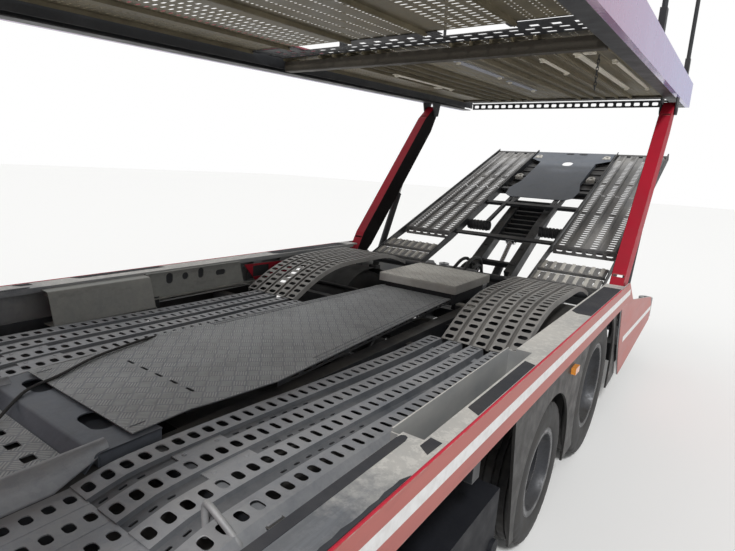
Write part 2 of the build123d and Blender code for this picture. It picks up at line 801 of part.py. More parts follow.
for side, name in ((1, "left"), (-1, "right")):
    with BuildPart() as front_tyre:
        tyre(front_tyre_inner, big_tyre_w, big_tyre_r, big_rim_r, (front_axle_y, big_tyre_r), side)
    save(front_tyre.part, f"tyre_front_{name}")
    with BuildPart() as front_rim:
        rim(front_rim_outline, (front_axle_y, big_tyre_r), side)
    save(front_rim.part, f"rim_front_{name}")
    for axle, y, radius, width, bore, hub_r, hub_inner in (
        ("pusher", pusher_axle_y, small_tyre_r, small_tyre_w, small_rim_r, 80, 760 + fit_gap),
        ("drive", drive_axle_y, big_tyre_r, big_tyre_w, big_rim_r, 105, 620 + fit_gap),
    ):
        with BuildPart() as twin_tyre:
            for inner in (tyre_face_x - width, tyre_face_x - 2 * width - twin_gap):
                tyre(inner, width, radius, bore, (y, radius), side)
        save(twin_tyre.part, f"tyre_{axle}_{name}")
        with BuildPart() as twin_rims:
            rim(twin_wheel_outline(width, bore, hub_r, hub_inner), (y, radius), side)
        save(twin_rims.part, f"rim_{axle}_{name}")

# Cab: a hollow shell with openings for the windscreen and the doors
cab_outline = (
    (-5330, cab_floor_z),
    (-5375, 1110),
    (-5375, 1500),
    (-5195, 2340),
    (-5120, 2500),
    (-4950, 2585),
    (-3560, 2615),
    (cab_rear_y, 2560),
    (cab_rear_y, cab_floor_z),
)
screen_angle = degrees(atan2(840, 180))
screen = tilted(-5375, 1500, screen_angle)
screen_y = (70, 790)
screen_half = cab_half - 160
door_outline = (
    (door_front_y, door_bottom_z),
    (door_front_y, 1580),
    (-4975, door_top_z),
    (door_rear_y, door_top_z),
    (door_rear_y, door_bottom_z),
)
hinge_x = cab_half + 13
hinge_y = -5140
hinge_zs = (1220, 1480)
door_window = ((-5075, 1600), (-4930, 2355), (-4245, 2355), (-4245, 1600))


def cab_solid(inset, mode):
    """The cab's outer form, drawn in by inset on every side."""
    with BuildSketch(side_plane(world, inset - cab_half)) as side_view:
        with BuildLine():
            Polyline(*cab_outline, close=True)
        make_face()
        if inset:
            offset(amount=-inset, kind=Kind.INTERSECTION)
    with BuildPart(mode=Mode.PRIVATE) as form:
        extrude(side_view.sketch, amount=2 * (cab_half - inset))
        with BuildSketch(Plane.XY.offset(900)) as plan:
            with Locations((0, (cab_rear_y - 5375) / 2)):
                Rectangle(2 * (cab_half - inset), 5375 + cab_rear_y - 2 * inset)
            fillet(plan.vertices().sort_by(Axis.Y)[:2], 190 - inset)
        extrude(plan.sketch, amount=1800, mode=Mode.INTERSECT)
    add(form.part, mode=mode)


with BuildPart() as cab_shell:
    cab_solid(0, Mode.ADD)
    cab_solid(cab_wall, Mode.SUBTRACT)
    block(screen, (-screen_half, screen_half), screen_y, (-150, 40), mode=Mode.SUBTRACT)
    with BuildSketch(side_plane(world, -cab_half - 10)) as aperture:
        with BuildLine():
            Polyline(*door_outline, close=True)
        make_face()
        offset(amount=door_gap, kind=Kind.INTERSECTION)
    extrude(aperture.sketch, amount=cab_wall + 40, mode=Mode.SUBTRACT)
    far_side = aperture.sketch.moved(Location((2 * cab_half - cab_wall - 20, 0, 0)))
    extrude(far_side, amount=cab_wall + 40, mode=Mode.SUBTRACT)
    # Hinge pins of the doors, each between two lugs
    for x in (-hinge_x, hinge_x):
        for z in hinge_zs:
            for lug in ((z - 42, z - 22), (z + 22, z + 42)):
                block(world, sorted((x, x * cab_half / hinge_x)), (-5185, hinge_y), lug)
                column((x, hinge_y), lug, 13)
            column((x, hinge_y), (z - 42, z + 42), hinge_pin_r)
save(cab_shell.part, "cab_shell")

with BuildPart() as windscreen:
    block(screen, (-screen_half, screen_half), screen_y, (-30, -24))
save(windscreen.part, "windscreen")

# Grille slats, sun visor and a wiper cowl on the cab's front
with BuildPart() as grille:
    for k in range(5):
        block(world, (-720, 720), (-5398, -5375), (1130 + 68 * k, 1172 + 68 * k))
    for x in both((700, 730)):
        block(world, x, (-5396, -5375), (1120, 1460))
save(grille.part, "grille")

# Front bumper with lamp recesses, the fascia above it and the cab steps
step_x = (half_width - 370, half_width - 53)
bumper_half = half_width - 35
mudguard_r = 555
with BuildPart() as front_bumper:
    block(world, (-bumper_half, bumper_half), (front_end_y, -5300), (300, 640))
    block(world, (35 - bumper_half, bumper_half - 35), (-5370, -5310), (640, 985))
    for x in both((bumper_half - 380, bumper_half - 110)):
        block(world, x, (front_end_y, -5365), (400, 560), mode=Mode.SUBTRACT)
    for x in both((350, 430)):
        block(world, x, (-5300, rail_front_y), (500, 720))
    for x in both(step_x):
        block(world, x, (-5310, -4580), (330, 985))
    for x in both((step_x[1] - 132, step_x[1] + 8)):
        for z in ((420, 610), (670, 860)):
            block(world, x, (-5120, -4650), z, mode=Mode.SUBTRACT)
    # Mudguards over the back of the front wheels
    arc = [radians(a) for a in range(8, 71, 8)]
    wheel_centre = (front_axle_y, big_tyre_r)
    outer = [along(wheel_centre, degrees(a), mudguard_r + 12) for a in arc]
    inner = [along(wheel_centre, degrees(a), mudguard_r) for a in reversed(arc)]
    for x in both(step_x):
        side_plate(world, outer + inner, x)
    for x in both((rail_web_x, step_x[0] + 20)):
        block(world, x, (-3510, -3478), (640, 700))
save(front_bumper.part, "front_bumper")

# Headlamps, marker lamps on the skirts and tail lamps
with BuildPart() as lamps:
    for x in both((bumper_half - 376, bumper_half - 114)):
        block(world, x, (-5396, -5365), (404, 556))
    for x in both((skirt_x[1], half_width - 2)):
        block(world, x, (720, 800), (790, 825))
    for x in both((700, 1000)):
        block(world, x, (4086, 4110), (440, 540))
save(lamps.part, "lamps")

# Two seats on plinths and a middle box
with BuildPart() as cab_interior:
    for x in both((420, 900)):
        block(world, (x[0] + 60, x[1] - 60), (-4400, -3980), (cab_floor_z + cab_wall, 1370))
        block(world, x, (-4450, -3930), (1370, 1480))
        side_plate(world, ((-4020, 1480), (-3900, 1480), (-3740, 2150), (-3830, 2170)), x)
    block(world, (-290, 290), (-4250, -3900), (cab_floor_z + cab_wall, 1330))
    # Dashboard with the steering wheel
    dashboard = ((-5315, 1230), (-5315, 1490), (-5120, 1510), (-4980, 1440), (-5020, 1230))
    side_plate(world, dashboard, (200 - cab_half, cab_half - 200))
    round_bar((660, -5040, 1400), (660, -4800, 1560), 28)
    with BuildSketch(Plane(origin=(660, -4800, 1560), x_dir=(1, 0, 0), z_dir=(0, 0.55, 0.83))) as wheel:
        Circle(225)
        Circle(197, mode=Mode.SUBTRACT)
        Rectangle(400, 36)
    extrude(wheel.sketch, amount=12, both=True)
save(cab_interior.part, "cab_interior")

# Doors with window openings, mirrors and handles
door_x = (cab_half - cab_wall + 2, cab_half - 2)
mirror_x = (cab_half + 110, cab_half + 235)
for side, name in ((1, "left"), (-1, "right")):
    with BuildPart() as door:
        x = sorted((side * door_x[0], side * door_x[1]))
        side_plate(world, door_outline, x)
        side_plate(world, door_window, (x[0] - 1, x[1] + 1), mode=Mode.SUBTRACT)
        block(world, sorted((side * door_x[1], side * (cab_half + 20))), (-4330, -4210), (1400, 1428))
        for z in hinge_zs:
            x = sorted((side * (door_x[1] - 4), side * hinge_x))
            block(world, x, (hinge_y, hinge_y + 50), (z - 20, z + 20))
            column((side * hinge_x, hinge_y), (z - 20, z + 20), 13)
            column((side * hinge_x, hinge_y), (z - 21, z + 21), hinge_pin_r + hinge_play, mode=Mode.SUBTRACT)
        for z in ((1690, 1715), (1530, 1555)):
            block(world, sorted((side * door_x[1], side * mirror_x[0])), (-5105, -5080), z)
        block(world, sorted((side * (mirror_x[0] - 35), side * mirror_x[1])), (-5140, -5070), (1500, 2060))
        block(world, sorted((side * door_x[1], side * mirror_x[0])), (-5000, -4975), (2010, 2035))
        block(world, sorted((side * (mirror_x[0] - 20), side * mirror_x[0])), (-5080, -4975), (2010, 2035))
    save(door.part, f"door_{name}")
    with BuildPart() as door_glass:
        middle = side * (door_x[0] + door_x[1]) / 2
        side_plate(world, door_window, (middle - 3, middle + 3))
    save(door_glass.part, f"door_glass_{name}")

# Mast behind the cab with the lugs of the head deck
with BuildPart() as mast:
    for x in both((mast_x - 60, mast_x + 60)):
        block(world, x, mast_y, (rail_top_z, mast_top_z))
    block(world, (60 - mast_x, mast_x - 60), mast_y, (rail_top_z, rail_top_z + 90))
    block(world, (60 - mast_x, mast_x - 60), (-3370, -3270), (2540, 2620))
    for x in both((mast_x - 52, mast_x - 40)) + both((mast_x + 40, mast_x + 52)):
        side_plate(world, ((-3370, mast_top_z), (-3270, mast_top_z), (-3290, 2735), (-3350, 2735)), x)
    for x in both((mast_x - 52, mast_x + 52)):
        cross_bar(world, head_pivot, x, pin_r)
save(mast.part, "mast")

# Head deck over the cab roof
with BuildPart() as head_deck:
    for x in both((mast_x - 34, mast_x + 34)):
        block(world, x, (-5350, -3050), (2665, 2765))
        cross_bar(world, head_pivot, (x[0] - 1, x[1] + 1), pin_r + fit_gap, mode=Mode.SUBTRACT)
    for y in (-5320, -4560, -3800, -3090):
        block(world, (34 - mast_x, mast_x - 34), (y - 30, y + 30), (2690, 2742))
    for x in both((mast_x + 34, mast_x + 60)):
        block(world, x, (-5350, -3420), (2640, 2790))
    strip_run(world, ((-5345, 2770), (-3060, 2770)), strips(450, 998, track_strips))
    mirror(about=Plane.YZ)
save(head_deck.part, "head_deck")


def lifting_arm(frame, x):
    """Folded arm, open underneath, bored for a pin at both ends."""
    outline = (
        (-45, -45),
        (220, -arm_depth / 2),
        (arm_length - 200, -arm_depth / 2),
        (arm_length + 45, -45),
        (arm_length + 45, 45),
        (arm_length - 200, arm_depth / 2),
        (220, arm_depth / 2),
        (-45, 45),
    )
    inside = (
        (160, -arm_depth),
        (arm_length - 140, -arm_depth),
        (arm_length - 140, arm_depth / 2 - arm_wall),
        (160, arm_depth / 2 - arm_wall),
    )
    side_plate(frame, outline, (x - arm_width / 2, x + arm_width / 2))
    hollow_x = (x - arm_width / 2 + arm_wall, x + arm_width / 2 - arm_wall)
    side_plate(frame, inside, hollow_x, mode=Mode.SUBTRACT)
    for y in (0, arm_length):
        cross_bar(frame, (y, 0), (x - arm_width, x + arm_width), pin_r + fit_gap, mode=Mode.SUBTRACT)


for frame, x, name in ((rear_arm, rear_arm_x, "rear_arms"), (front_arm, front_arm_x, "front_arms")):
    with BuildPart() as arms:
        lifting_arm(frame, x)
        mirror(about=Plane.YZ)
    save(arms.part, name)


def tube(frame, x, y, radius, bore=0, mode=Mode.ADD):
    """A round bar or tube along the frame's Y axis at x, between two values of y."""
    with BuildSketch(Plane(origin=frame.from_local_coords(Vector(x, y[0], 0)), z_dir=frame.y_dir)) as ring:
        Circle(radius)
        if bore:
            Circle(bore, mode=Mode.SUBTRACT)
    extrude(ring.sketch, amount=y[1] - y[0], mode=mode)


# Cylinders of the upper deck, one behind each rear arm
eye = along(rear_arm_base, arm_angle, deck_cylinder_eye)
deck_cylinder_angle = degrees(atan2(eye[1] - deck_cylinder_base[1], eye[0] - deck_cylinder_base[0]))
deck_cylinder_length = hypot(eye[1] - deck_cylinder_base[1], eye[0] - deck_cylinder_base[0])
deck_cylinder = tilted(*deck_cylinder_base, deck_cylinder_angle)
with BuildPart() as deck_cylinder_barrels:
    cross_bar(deck_cylinder, (0, 0), (rear_arm_x - 29, rear_arm_x + 29), 38)
    tube(deck_cylinder, rear_arm_x, (25, 120), 34)
    tube(deck_cylinder, rear_arm_x, (120, 850), 34, 26)
    tube(deck_cylinder, rear_arm_x, (850, 870), 34, 20 + fit_gap)
    cross_bar(deck_cylinder, (0, 0), (rear_arm_x - 30, rear_arm_x + 30), 20 + fit_gap, mode=Mode.SUBTRACT)
    mirror(about=Plane.YZ)
save(deck_cylinder_barrels.part, "deck_cylinder_barrels")

with BuildPart() as deck_cylinder_rods:
    tube(deck_cylinder, rear_arm_x, (220, deck_cylinder_length), 20)
    cross_bar(deck_cylinder, (deck_cylinder_length, 0), (rear_arm_x - 33, rear_arm_x + 33), 32)
    mirror(about=Plane.YZ)
save(deck_cylinder_rods.part, "deck_cylinder_rods")

# Upper deck
deck_side_x = (half_width - 150, half_width - 35)
deck_main_ys = (-6130, -5050, -2640, 880)
deck_light_ys = (-4350, -3500, -1850, -950, -80)
with BuildPart() as deck_frame:
    for x in both(deck_side_x):
        block(deck, x, (deck_front, deck_rear), (100, 220))
    for y in deck_main_ys:
        block(deck, (-deck_side_x[0], deck_side_x[0]), (y - 40, y + 40), (104, 170))
    for y in deck_light_ys:
        block(deck, (-deck_side_x[0], deck_side_x[0]), (y - 16, y + 16), (142, 170))
    bracket = ((-60, 104), (-50, -45), (50, -45), (60, 104))
    arm_bracket(deck, rear_arm_x, ((-90, 100), (-45, -42), (45, -42), (90, 100)))
    front_deck = tilted(*along(rear_arm_top, deck_slope, -arm_spacing), deck_slope)
    arm_bracket(front_deck, front_arm_x, bracket)
save(deck_frame.part, "deck_frame")

# Sheet sides of the upper deck, with a lip above and below
with BuildPart() as deck_side_panels:
    block(deck, (half_width - 12, half_width), (deck_front, deck_rear), (100, 100 + panel_height - 50))
    block(deck, (deck_side_x[1], half_width - 12), (deck_front, deck_rear), (100, 112))
    lip_x = (deck_side_x[1] - 30, half_width - 12)
    block(deck, lip_x, (deck_front, deck_rear), (panel_height + 38, panel_height + 50))
    mirror(about=Plane.YZ)
save(deck_side_panels.part, "deck_side_panels")

# Pressed planks of the upper deck: two wheel tracks and the narrower planks between them
with BuildPart() as deck_planks:
    strip_run(deck, ((deck_front, 198), (deck_rear, 198)), strips(480, 1108, 5))
    mirror(about=Plane.YZ)
    for x0 in (-350, -110, 130):
        block(deck, (x0, x0 + 220), (deck_front, deck_rear), (190, 196))
        for x in ((x0, x0 + strip_wall), (x0 + 220 - strip_wall, x0 + 220)):
            block(deck, x, (deck_front, deck_rear), (170, 196))
save(deck_planks.part, "deck_planks")

# Stanchions along the upper deck's outer edges
stanchion_ys = (-5600, -3600, -1590, 310)
with BuildPart() as stanchions:
    for y in stanchion_ys:
        x = half_width - 22
        base = deck.from_local_coords(Vector(x, y, panel_height + 50))
        block(deck, (x - 20, x + 20), (y - 35, y + 35), (panel_height + 50, panel_height + 190))
        round_bar(base, deck.from_local_coords(Vector(x, y, 1250)), 17)
    mirror(about=Plane.YZ)
save(stanchions.part, "stanchions")

# Rear ramp: cheeks, rungs, slotted tracks and cross members
rung_ys = ((255, 385), (500, 630))
with BuildPart() as ramp_frame:
    outline = ((-40, -36), (700, -70), (ramp_length, -70), (ramp_length, 10), (40, 10), (-40, 36))
    for x in ((ramp_inner_x, ramp_inner_x + 14), (ramp_outer_x - 14, ramp_outer_x)):
        side_plate(ramp, outline, x)
    track = (ramp_inner_x + 14, ramp_outer_x - 14)
    for y in rung_ys:
        block(ramp, track, y, (-30, 0))
    ramp_line = ((750, 0), (ramp_length - 120, 0))
    strip_run(ramp, ramp_line, strips(*track, track_strips))
    for y in (780, 1620, 2480, ramp_length - 150):
        block(ramp, track, (y - 28, y + 28), (-50, -strip_flange))
    mirror(about=Plane.YZ)
    for y in (800, 1620, 2060, ramp_length - 150):
        block(ramp, (-ramp_inner_x, ramp_inner_x), (y - 28, y + 28), (-40, -6))
    cross_bar(ramp, (0, 0), (-ramp_outer_x - 10, ramp_outer_x + 10), ramp_tube_r)
    block(ramp, (-ramp_outer_x, ramp_outer_x), (ramp_length - 60, ramp_length), (-70, -20))
    for x in both((200, 240)):
        block(ramp, x, (1620, 2060), (-38, -6))
save(ramp_frame.part, "ramp_frame")

# Centre plate of the ramp, with two oval holes and a round one near the top
plate_y = (1767, 3400)
with BuildPart() as ramp_plate:
    with BuildSketch(ramp.offset(-6)):
        with BuildLine():
            Polyline(
                (-375, plate_y[0]),
                (375, plate_y[0]),
                (ramp_inner_x, 2900),
                (ramp_inner_x, plate_y[1]),
                (-ramp_inner_x, plate_y[1]),
                (-ramp_inner_x, 2900),
                close=True,
            )
        make_face()
        with Locations((-180, 2560), (180, 2560)):
            SlotOverall(170, 80, rotation=90, mode=Mode.SUBTRACT)
        with Locations((0, 3130)):
            Circle(75, mode=Mode.SUBTRACT)
    extrude(amount=6)
save(ramp_plate.part, "ramp_plate")

# Lifting boom: two long plates with ribs between them and a roller bar at the top
with BuildPart() as lift_boom:
    outline = (
        (-45, -38),
        (300, -60),
        (1150, -55),
        (boom_length + 30, -26),
        (boom_length + 30, 26),
        (1150, 50),
        (300, 55),
        (-45, 38),
    )
    for x in both((boom_half - 28, boom_half)):
        side_plate(boom, outline, x)
    for y in (480, 1230, 1500):
        block(boom, (28 - boom_half, boom_half - 28), (y - 15, y + 15), (-30, 25))
    cross_bar(boom, (0, 0), (-boom_half, boom_half), boom_tube_r)
    cross_bar(boom, (ramp_cylinder_eye, 0), (28 - boom_half, boom_half - 28), 16)
    cross_bar(boom, (boom_length, 0), (-boom_half - 15, boom_half + 15), boom_tube_r)
save(lift_boom.part, "lift_boom")

# Cylinder that raises the boom
eye = along(boom_base, boom_angle, ramp_cylinder_eye)
ramp_cylinder_angle = degrees(atan2(eye[1] - ramp_cylinder_base[1], eye[0] - ramp_cylinder_base[0]))
ramp_cylinder_length = hypot(eye[1] - ramp_cylinder_base[1], eye[0] - ramp_cylinder_base[0])
ramp_cylinder = tilted(*ramp_cylinder_base, ramp_cylinder_angle)
with BuildPart() as ramp_cylinder_barrel:
    cross_bar(ramp_cylinder, (0, 0), (-52, 52), 36)
    tube(ramp_cylinder, 0, (20, 60), 42)
    tube(ramp_cylinder, 0, (60, 570), 42, 34)
    tube(ramp_cylinder, 0, (570, 600), 42, 24 + fit_gap)
    cross_bar(ramp_cylinder, (0, 0), (-53, 53), 20 + fit_gap, mode=Mode.SUBTRACT)
save(ramp_cylinder_barrel.part, "ramp_cylinder_barrel")

with BuildPart() as ramp_cylinder_rod:
    tube(ramp_cylinder, 0, (230, ramp_cylinder_length - 30), 24)
    cross_bar(ramp_cylinder, (ramp_cylinder_length, 0), (-45, 45), 44)
    cross_bar(ramp_cylinder, (ramp_cylinder_length, 0), (-46, 46), 26, mode=Mode.SUBTRACT)
save(ramp_cylinder_rod.part, "ramp_cylinder_rod")
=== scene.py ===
"""Looks of the car transporter truck: materials, detailed pieces, floor, light and camera."""

import random
from math import atan2, cos, hypot, pi, radians, sin

import bpy
from mathutils import Matrix, Vector


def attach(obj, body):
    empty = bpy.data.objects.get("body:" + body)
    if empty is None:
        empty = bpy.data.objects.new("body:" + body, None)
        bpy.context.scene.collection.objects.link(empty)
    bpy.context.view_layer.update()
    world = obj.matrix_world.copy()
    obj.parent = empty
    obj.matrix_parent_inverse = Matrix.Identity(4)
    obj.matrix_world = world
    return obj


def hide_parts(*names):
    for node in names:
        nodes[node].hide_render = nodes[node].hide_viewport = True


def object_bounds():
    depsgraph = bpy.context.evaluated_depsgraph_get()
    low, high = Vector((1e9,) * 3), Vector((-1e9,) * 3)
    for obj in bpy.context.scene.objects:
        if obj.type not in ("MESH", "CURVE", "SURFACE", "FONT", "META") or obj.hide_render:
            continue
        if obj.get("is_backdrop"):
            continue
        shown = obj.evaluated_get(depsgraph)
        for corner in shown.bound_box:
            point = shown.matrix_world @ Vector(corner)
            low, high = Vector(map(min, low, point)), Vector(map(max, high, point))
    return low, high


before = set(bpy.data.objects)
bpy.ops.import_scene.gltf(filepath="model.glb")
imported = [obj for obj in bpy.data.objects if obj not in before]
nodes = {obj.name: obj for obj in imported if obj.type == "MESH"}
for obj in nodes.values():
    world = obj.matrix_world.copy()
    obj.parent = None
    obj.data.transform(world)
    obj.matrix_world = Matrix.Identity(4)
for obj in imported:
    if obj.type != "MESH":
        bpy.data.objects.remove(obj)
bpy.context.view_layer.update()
rng = random.Random(7)

# Sizes of the model in metres; places are (y, z) and spans (low, high)
HALF_WIDTH = 1.275
SKIN = 0.0035
ARM_INSIDE = 1.149
FRONT_LAMPS_END, TAIL_LAMPS_START = -4.2, 3.2
SIDES = ((1, "left"), (-1, "right"))
DRIVE = (1.51, 0.463)
PUSHER = (0.42, 0.358)
ARM_ANGLE = radians(48.6)
ARM_BASE = (2.1, 0.93)
ARM_LENGTH = 2.03
ARM_TOP = (ARM_BASE[0] + ARM_LENGTH * cos(ARM_ANGLE), ARM_BASE[1] + ARM_LENGTH * sin(ARM_ANGLE))
DECK_SLOPE = radians(2.3)
RAMP_PIVOT = (2.15, 0.93)
RAMP_SLOPE = radians(21)
DECK_SPAN, DECK_ENDS, PLANK_TOP = (-1.105, 1.105), (-6.17, 0.96), 0.194
HEAD_ENDS = (-5.35, -3.05)
RAIL_FRONT, SHELF_TOP = -3.05, 1.0618
RIM_FLANGE = 0.016
FLARE_LENGTH = 1.6
TREAD_STEPS = 144
PHOTO_WIDTH, FOCAL_LENGTH = 735, 513.7


def moved(x, y, z):
    """Matrix of a frame at (x, y, z)."""
    return Matrix.Translation((x, y, z))


def across(side, a, b):
    """The span between two distances from the truck's middle, on one side of it."""
    return sorted((side * a, side * b))


def tilted(y, z, angle):
    """Matrix of a frame at (0, y, z) whose Y axis rises by an angle."""
    return moved(0, y, z) @ Matrix.Rotation(angle, 4, "X")


def spun(degrees, axis):
    return Matrix.Rotation(radians(degrees), 4, axis)


def upright_of(place, way=1):
    """Direction of the Z axis of place, or its opposite."""
    return place.to_3x3() @ Vector((0, 0, way))


def oblong(x0, x1, y0, y1):
    return (x0, y0), (x1, y0), (x1, y1), (x0, y1)


def circle(radius, sides, x=0, y=0):
    angles = [2 * pi * k / sides for k in range(sides)]
    return [(x + radius * cos(a), y + radius * sin(a)) for a in angles]


def sided(side, outline):
    """The outline (x, ...) on one side of the truck."""
    return [(side * x, y) for x, y in outline]


WORLD = Matrix.Identity(4)
# Frames of bars whose outline is given as (y, z) and that run along X, or as (x, z) and run along Y
SIDEWAYS = Matrix(((0, 0, 1, 0), (1, 0, 0, 0), (0, 1, 0, 0), (0, 0, 0, 1)))
LENGTHWAYS = Matrix(((1, 0, 0, 0), (0, 0, 1, 0), (0, 1, 0, 0), (0, 0, 0, 1)))
DECK = tilted(*ARM_TOP, DECK_SLOPE)
RAMP = tilted(*RAMP_PIVOT, RAMP_SLOPE)
BOOM = tilted(2.4, 0.72, radians(28.3))
SCREEN = tilted(-5.375, 1.5, atan2(0.84, 0.18))


# Materials


class Shade:
    """A small builder of one node material."""

    def __init__(self):
        self.material = bpy.data.materials.new("shade")
        self.material.use_nodes = True
        self.tree = self.material.node_tree
        self.shader = self.tree.nodes["Principled BSDF"]
        self.place = self.node("ShaderNodeTexCoord").outputs["Object"]

    def node(self, kind, **values):
        made = self.tree.nodes.new(kind)
        for key, value in values.items():
            if key in made.inputs:
                made.inputs[key].default_value = value
            else:
                setattr(made, key, value)
        return made

    def link(self, start, end):
        self.tree.links.new(start, end)

    def noise(self, scale, detail=5.0, rough=0.6, stretch=None):
        made = self.node("ShaderNodeTexNoise", Scale=scale, Detail=detail, Roughness=rough)
        source = self.place
        if stretch:
            mapping = self.node("ShaderNodeMapping", Scale=stretch)
            self.link(source, mapping.inputs["Vector"])
            source = mapping.outputs["Vector"]
        self.link(source, made.inputs["Vector"])
        return made.outputs["Fac"]

    def ramp(self, source, low, high, first=0.0, last=1.0):
        limits = {"From Min": low, "From Max": high, "To Min": first, "To Max": last}
        made = self.node("ShaderNodeMapRange", **limits)
        self.link(source, made.inputs["Value"])
        return made.outputs["Result"]

    def axes(self, source):
        """The X, Y and Z of a vector."""
        split = self.node("ShaderNodeSeparateXYZ")
        self.link(source, split.inputs[0])
        return split.outputs

    def math(self, operation, a, b=0.0):
        made = self.node("ShaderNodeMath", operation=operation)
        for socket, value in zip(made.inputs, (a, b)):
            if isinstance(value, (int, float)):
                socket.default_value = value
            else:
                self.link(value, socket)
        return made.outputs[0]

    def mix(self, factor, a, b, blend="MIX"):
        made = self.node("ShaderNodeMix", data_type="RGBA", blend_type=blend)
        for socket, value in ((made.inputs[0], factor), (made.inputs[6], a), (made.inputs[7], b)):
            if isinstance(value, (int, float)):
                socket.default_value = value
            elif isinstance(value, tuple):
                socket.default_value = (*value, 1.0)
            else:
                self.link(value, socket)
        return made.outputs[2]

    def bump(self, source, distance, strength):
        made = self.node("ShaderNodeBump", Strength=strength, Distance=distance)
        self.link(source, made.inputs["Height"])
        self.link(made.outputs["Normal"], self.shader.inputs["Normal"])

    def up(self, low=0.6, high=0.95):
        """1 on surfaces that face up."""
        return self.ramp(self.axes(self.node("ShaderNodeNewGeometry").outputs["Normal"])["Z"], low, high)

    def edges(self, radius=0.006):
        """1 close to sharp outer and inner edges."""
        bevel = self.node("ShaderNodeBevel", samples=4, Radius=radius)
        dot = self.node("ShaderNodeVectorMath", operation="DOT_PRODUCT")
        self.link(bevel.outputs["Normal"], dot.inputs[0])
        self.link(self.node("ShaderNodeNewGeometry").outputs["Normal"], dot.inputs[1])
        return self.ramp(self.math("SUBTRACT", 1.0, dot.outputs["Value"]), 0.02, 0.25)

    def set(self, **values):
        """Plain values of the shader, with _ in their names in place of blanks."""
        for key, value in values.items():
            self.shader.inputs[key.replace("_", " ")].default_value = value

    def finish(self, colour, rough=None, metallic=0.0):
        self.link(colour, self.shader.inputs["Base Color"])
        if rough is not None:
            self.link(rough, self.shader.inputs["Roughness"])
        self.set(Metallic=metallic)
        return self.material


def weathered(clean, second_tone, dusty=0.35, patch=2.2, grain=90.0, rough=(0.35, 0.7), metallic=0.0, relief=0.0004,
              edge=None, stretch=None):
    """Painted or moulded surface: two tones in soft patches, fine grain, dust on what faces up."""
    s = Shade()
    patches = s.noise(patch, 8.0, 0.68, stretch)
    fine = s.noise(grain, 4.0, 0.7)
    tone = s.mix(s.ramp(patches, 0.5, 0.72), clean, second_tone)
    speckle = s.ramp(fine, 0.3, 0.75, 0.82, 1.14)
    grey = s.node("ShaderNodeCombineColor")
    for socket in grey.inputs[:3]:
        s.link(speckle, socket)
    tone = s.mix(1.0, tone, grey.outputs[0], "MULTIPLY")
    if edge:
        rubbed = s.math("MULTIPLY", s.edges(), s.ramp(s.noise(14.0), 0.38, 0.6))
        tone = s.mix(rubbed, tone, edge)
    if dusty:
        cover = s.math("MULTIPLY", s.up(), s.ramp(s.noise(5.0, 6.0, 0.7), 0.3, 0.75, 0.0, dusty))
        tone = s.mix(cover, tone, (0.2, 0.18, 0.15))
    roughness = s.ramp(s.noise(patch * 4, 5.0, 0.6), 0.3, 0.7, *rough)
    s.bump(fine, relief, 0.6)
    return s.finish(tone, roughness, metallic)


def galvanised(dark, pale, rough=(0.42, 0.68), dusty=0.3, flakes=0.0, metallic=0.35):
    """Zinc-coated steel: spangled grains, stained patches and, where asked for, flaking white bloom."""
    s = Shade()
    cells = s.node("ShaderNodeTexVoronoi", Scale=55.0)
    s.link(s.place, cells.inputs["Vector"])
    split = s.node("ShaderNodeSeparateColor")
    s.link(cells.outputs["Color"], split.inputs[0])
    patches = s.noise(3.0, 9.0, 0.72)
    blend = s.math("ADD", s.ramp(patches, 0.32, 0.7, 0.0, 0.85),
                   s.ramp(split.outputs[0], 0.0, 1.0, -0.07, 0.07))
    tone = s.mix(blend, dark, pale)
    stain = s.ramp(s.noise(9.0, 8.0, 0.75, (1.0, 0.35, 1.0)), 0.55, 0.75, 0.0, 0.5)
    tone = s.mix(stain, tone, (dark[0] * 0.55, dark[1] * 0.52, dark[2] * 0.5))
    relief = s.noise(120.0, 4.0, 0.7)
    if flakes:
        flake = s.ramp(s.noise(26.0, 9.0, 0.8), 0.5, 0.56, 0.0, flakes)
        tone = s.mix(s.math("MULTIPLY", flake, s.up(0.4, 0.8)), tone, (0.72, 0.7, 0.66))
        relief = s.math("ADD", relief, flake)
    if dusty:
        cover = s.math("MULTIPLY", s.up(), s.ramp(s.noise(6.0, 6.0, 0.7), 0.35, 0.75, 0.0, dusty))
        tone = s.mix(cover, tone, (0.25, 0.23, 0.2))
    s.bump(relief, 0.0005, 0.6)
    return s.finish(tone, s.ramp(patches, 0.3, 0.7, *rough), metallic)


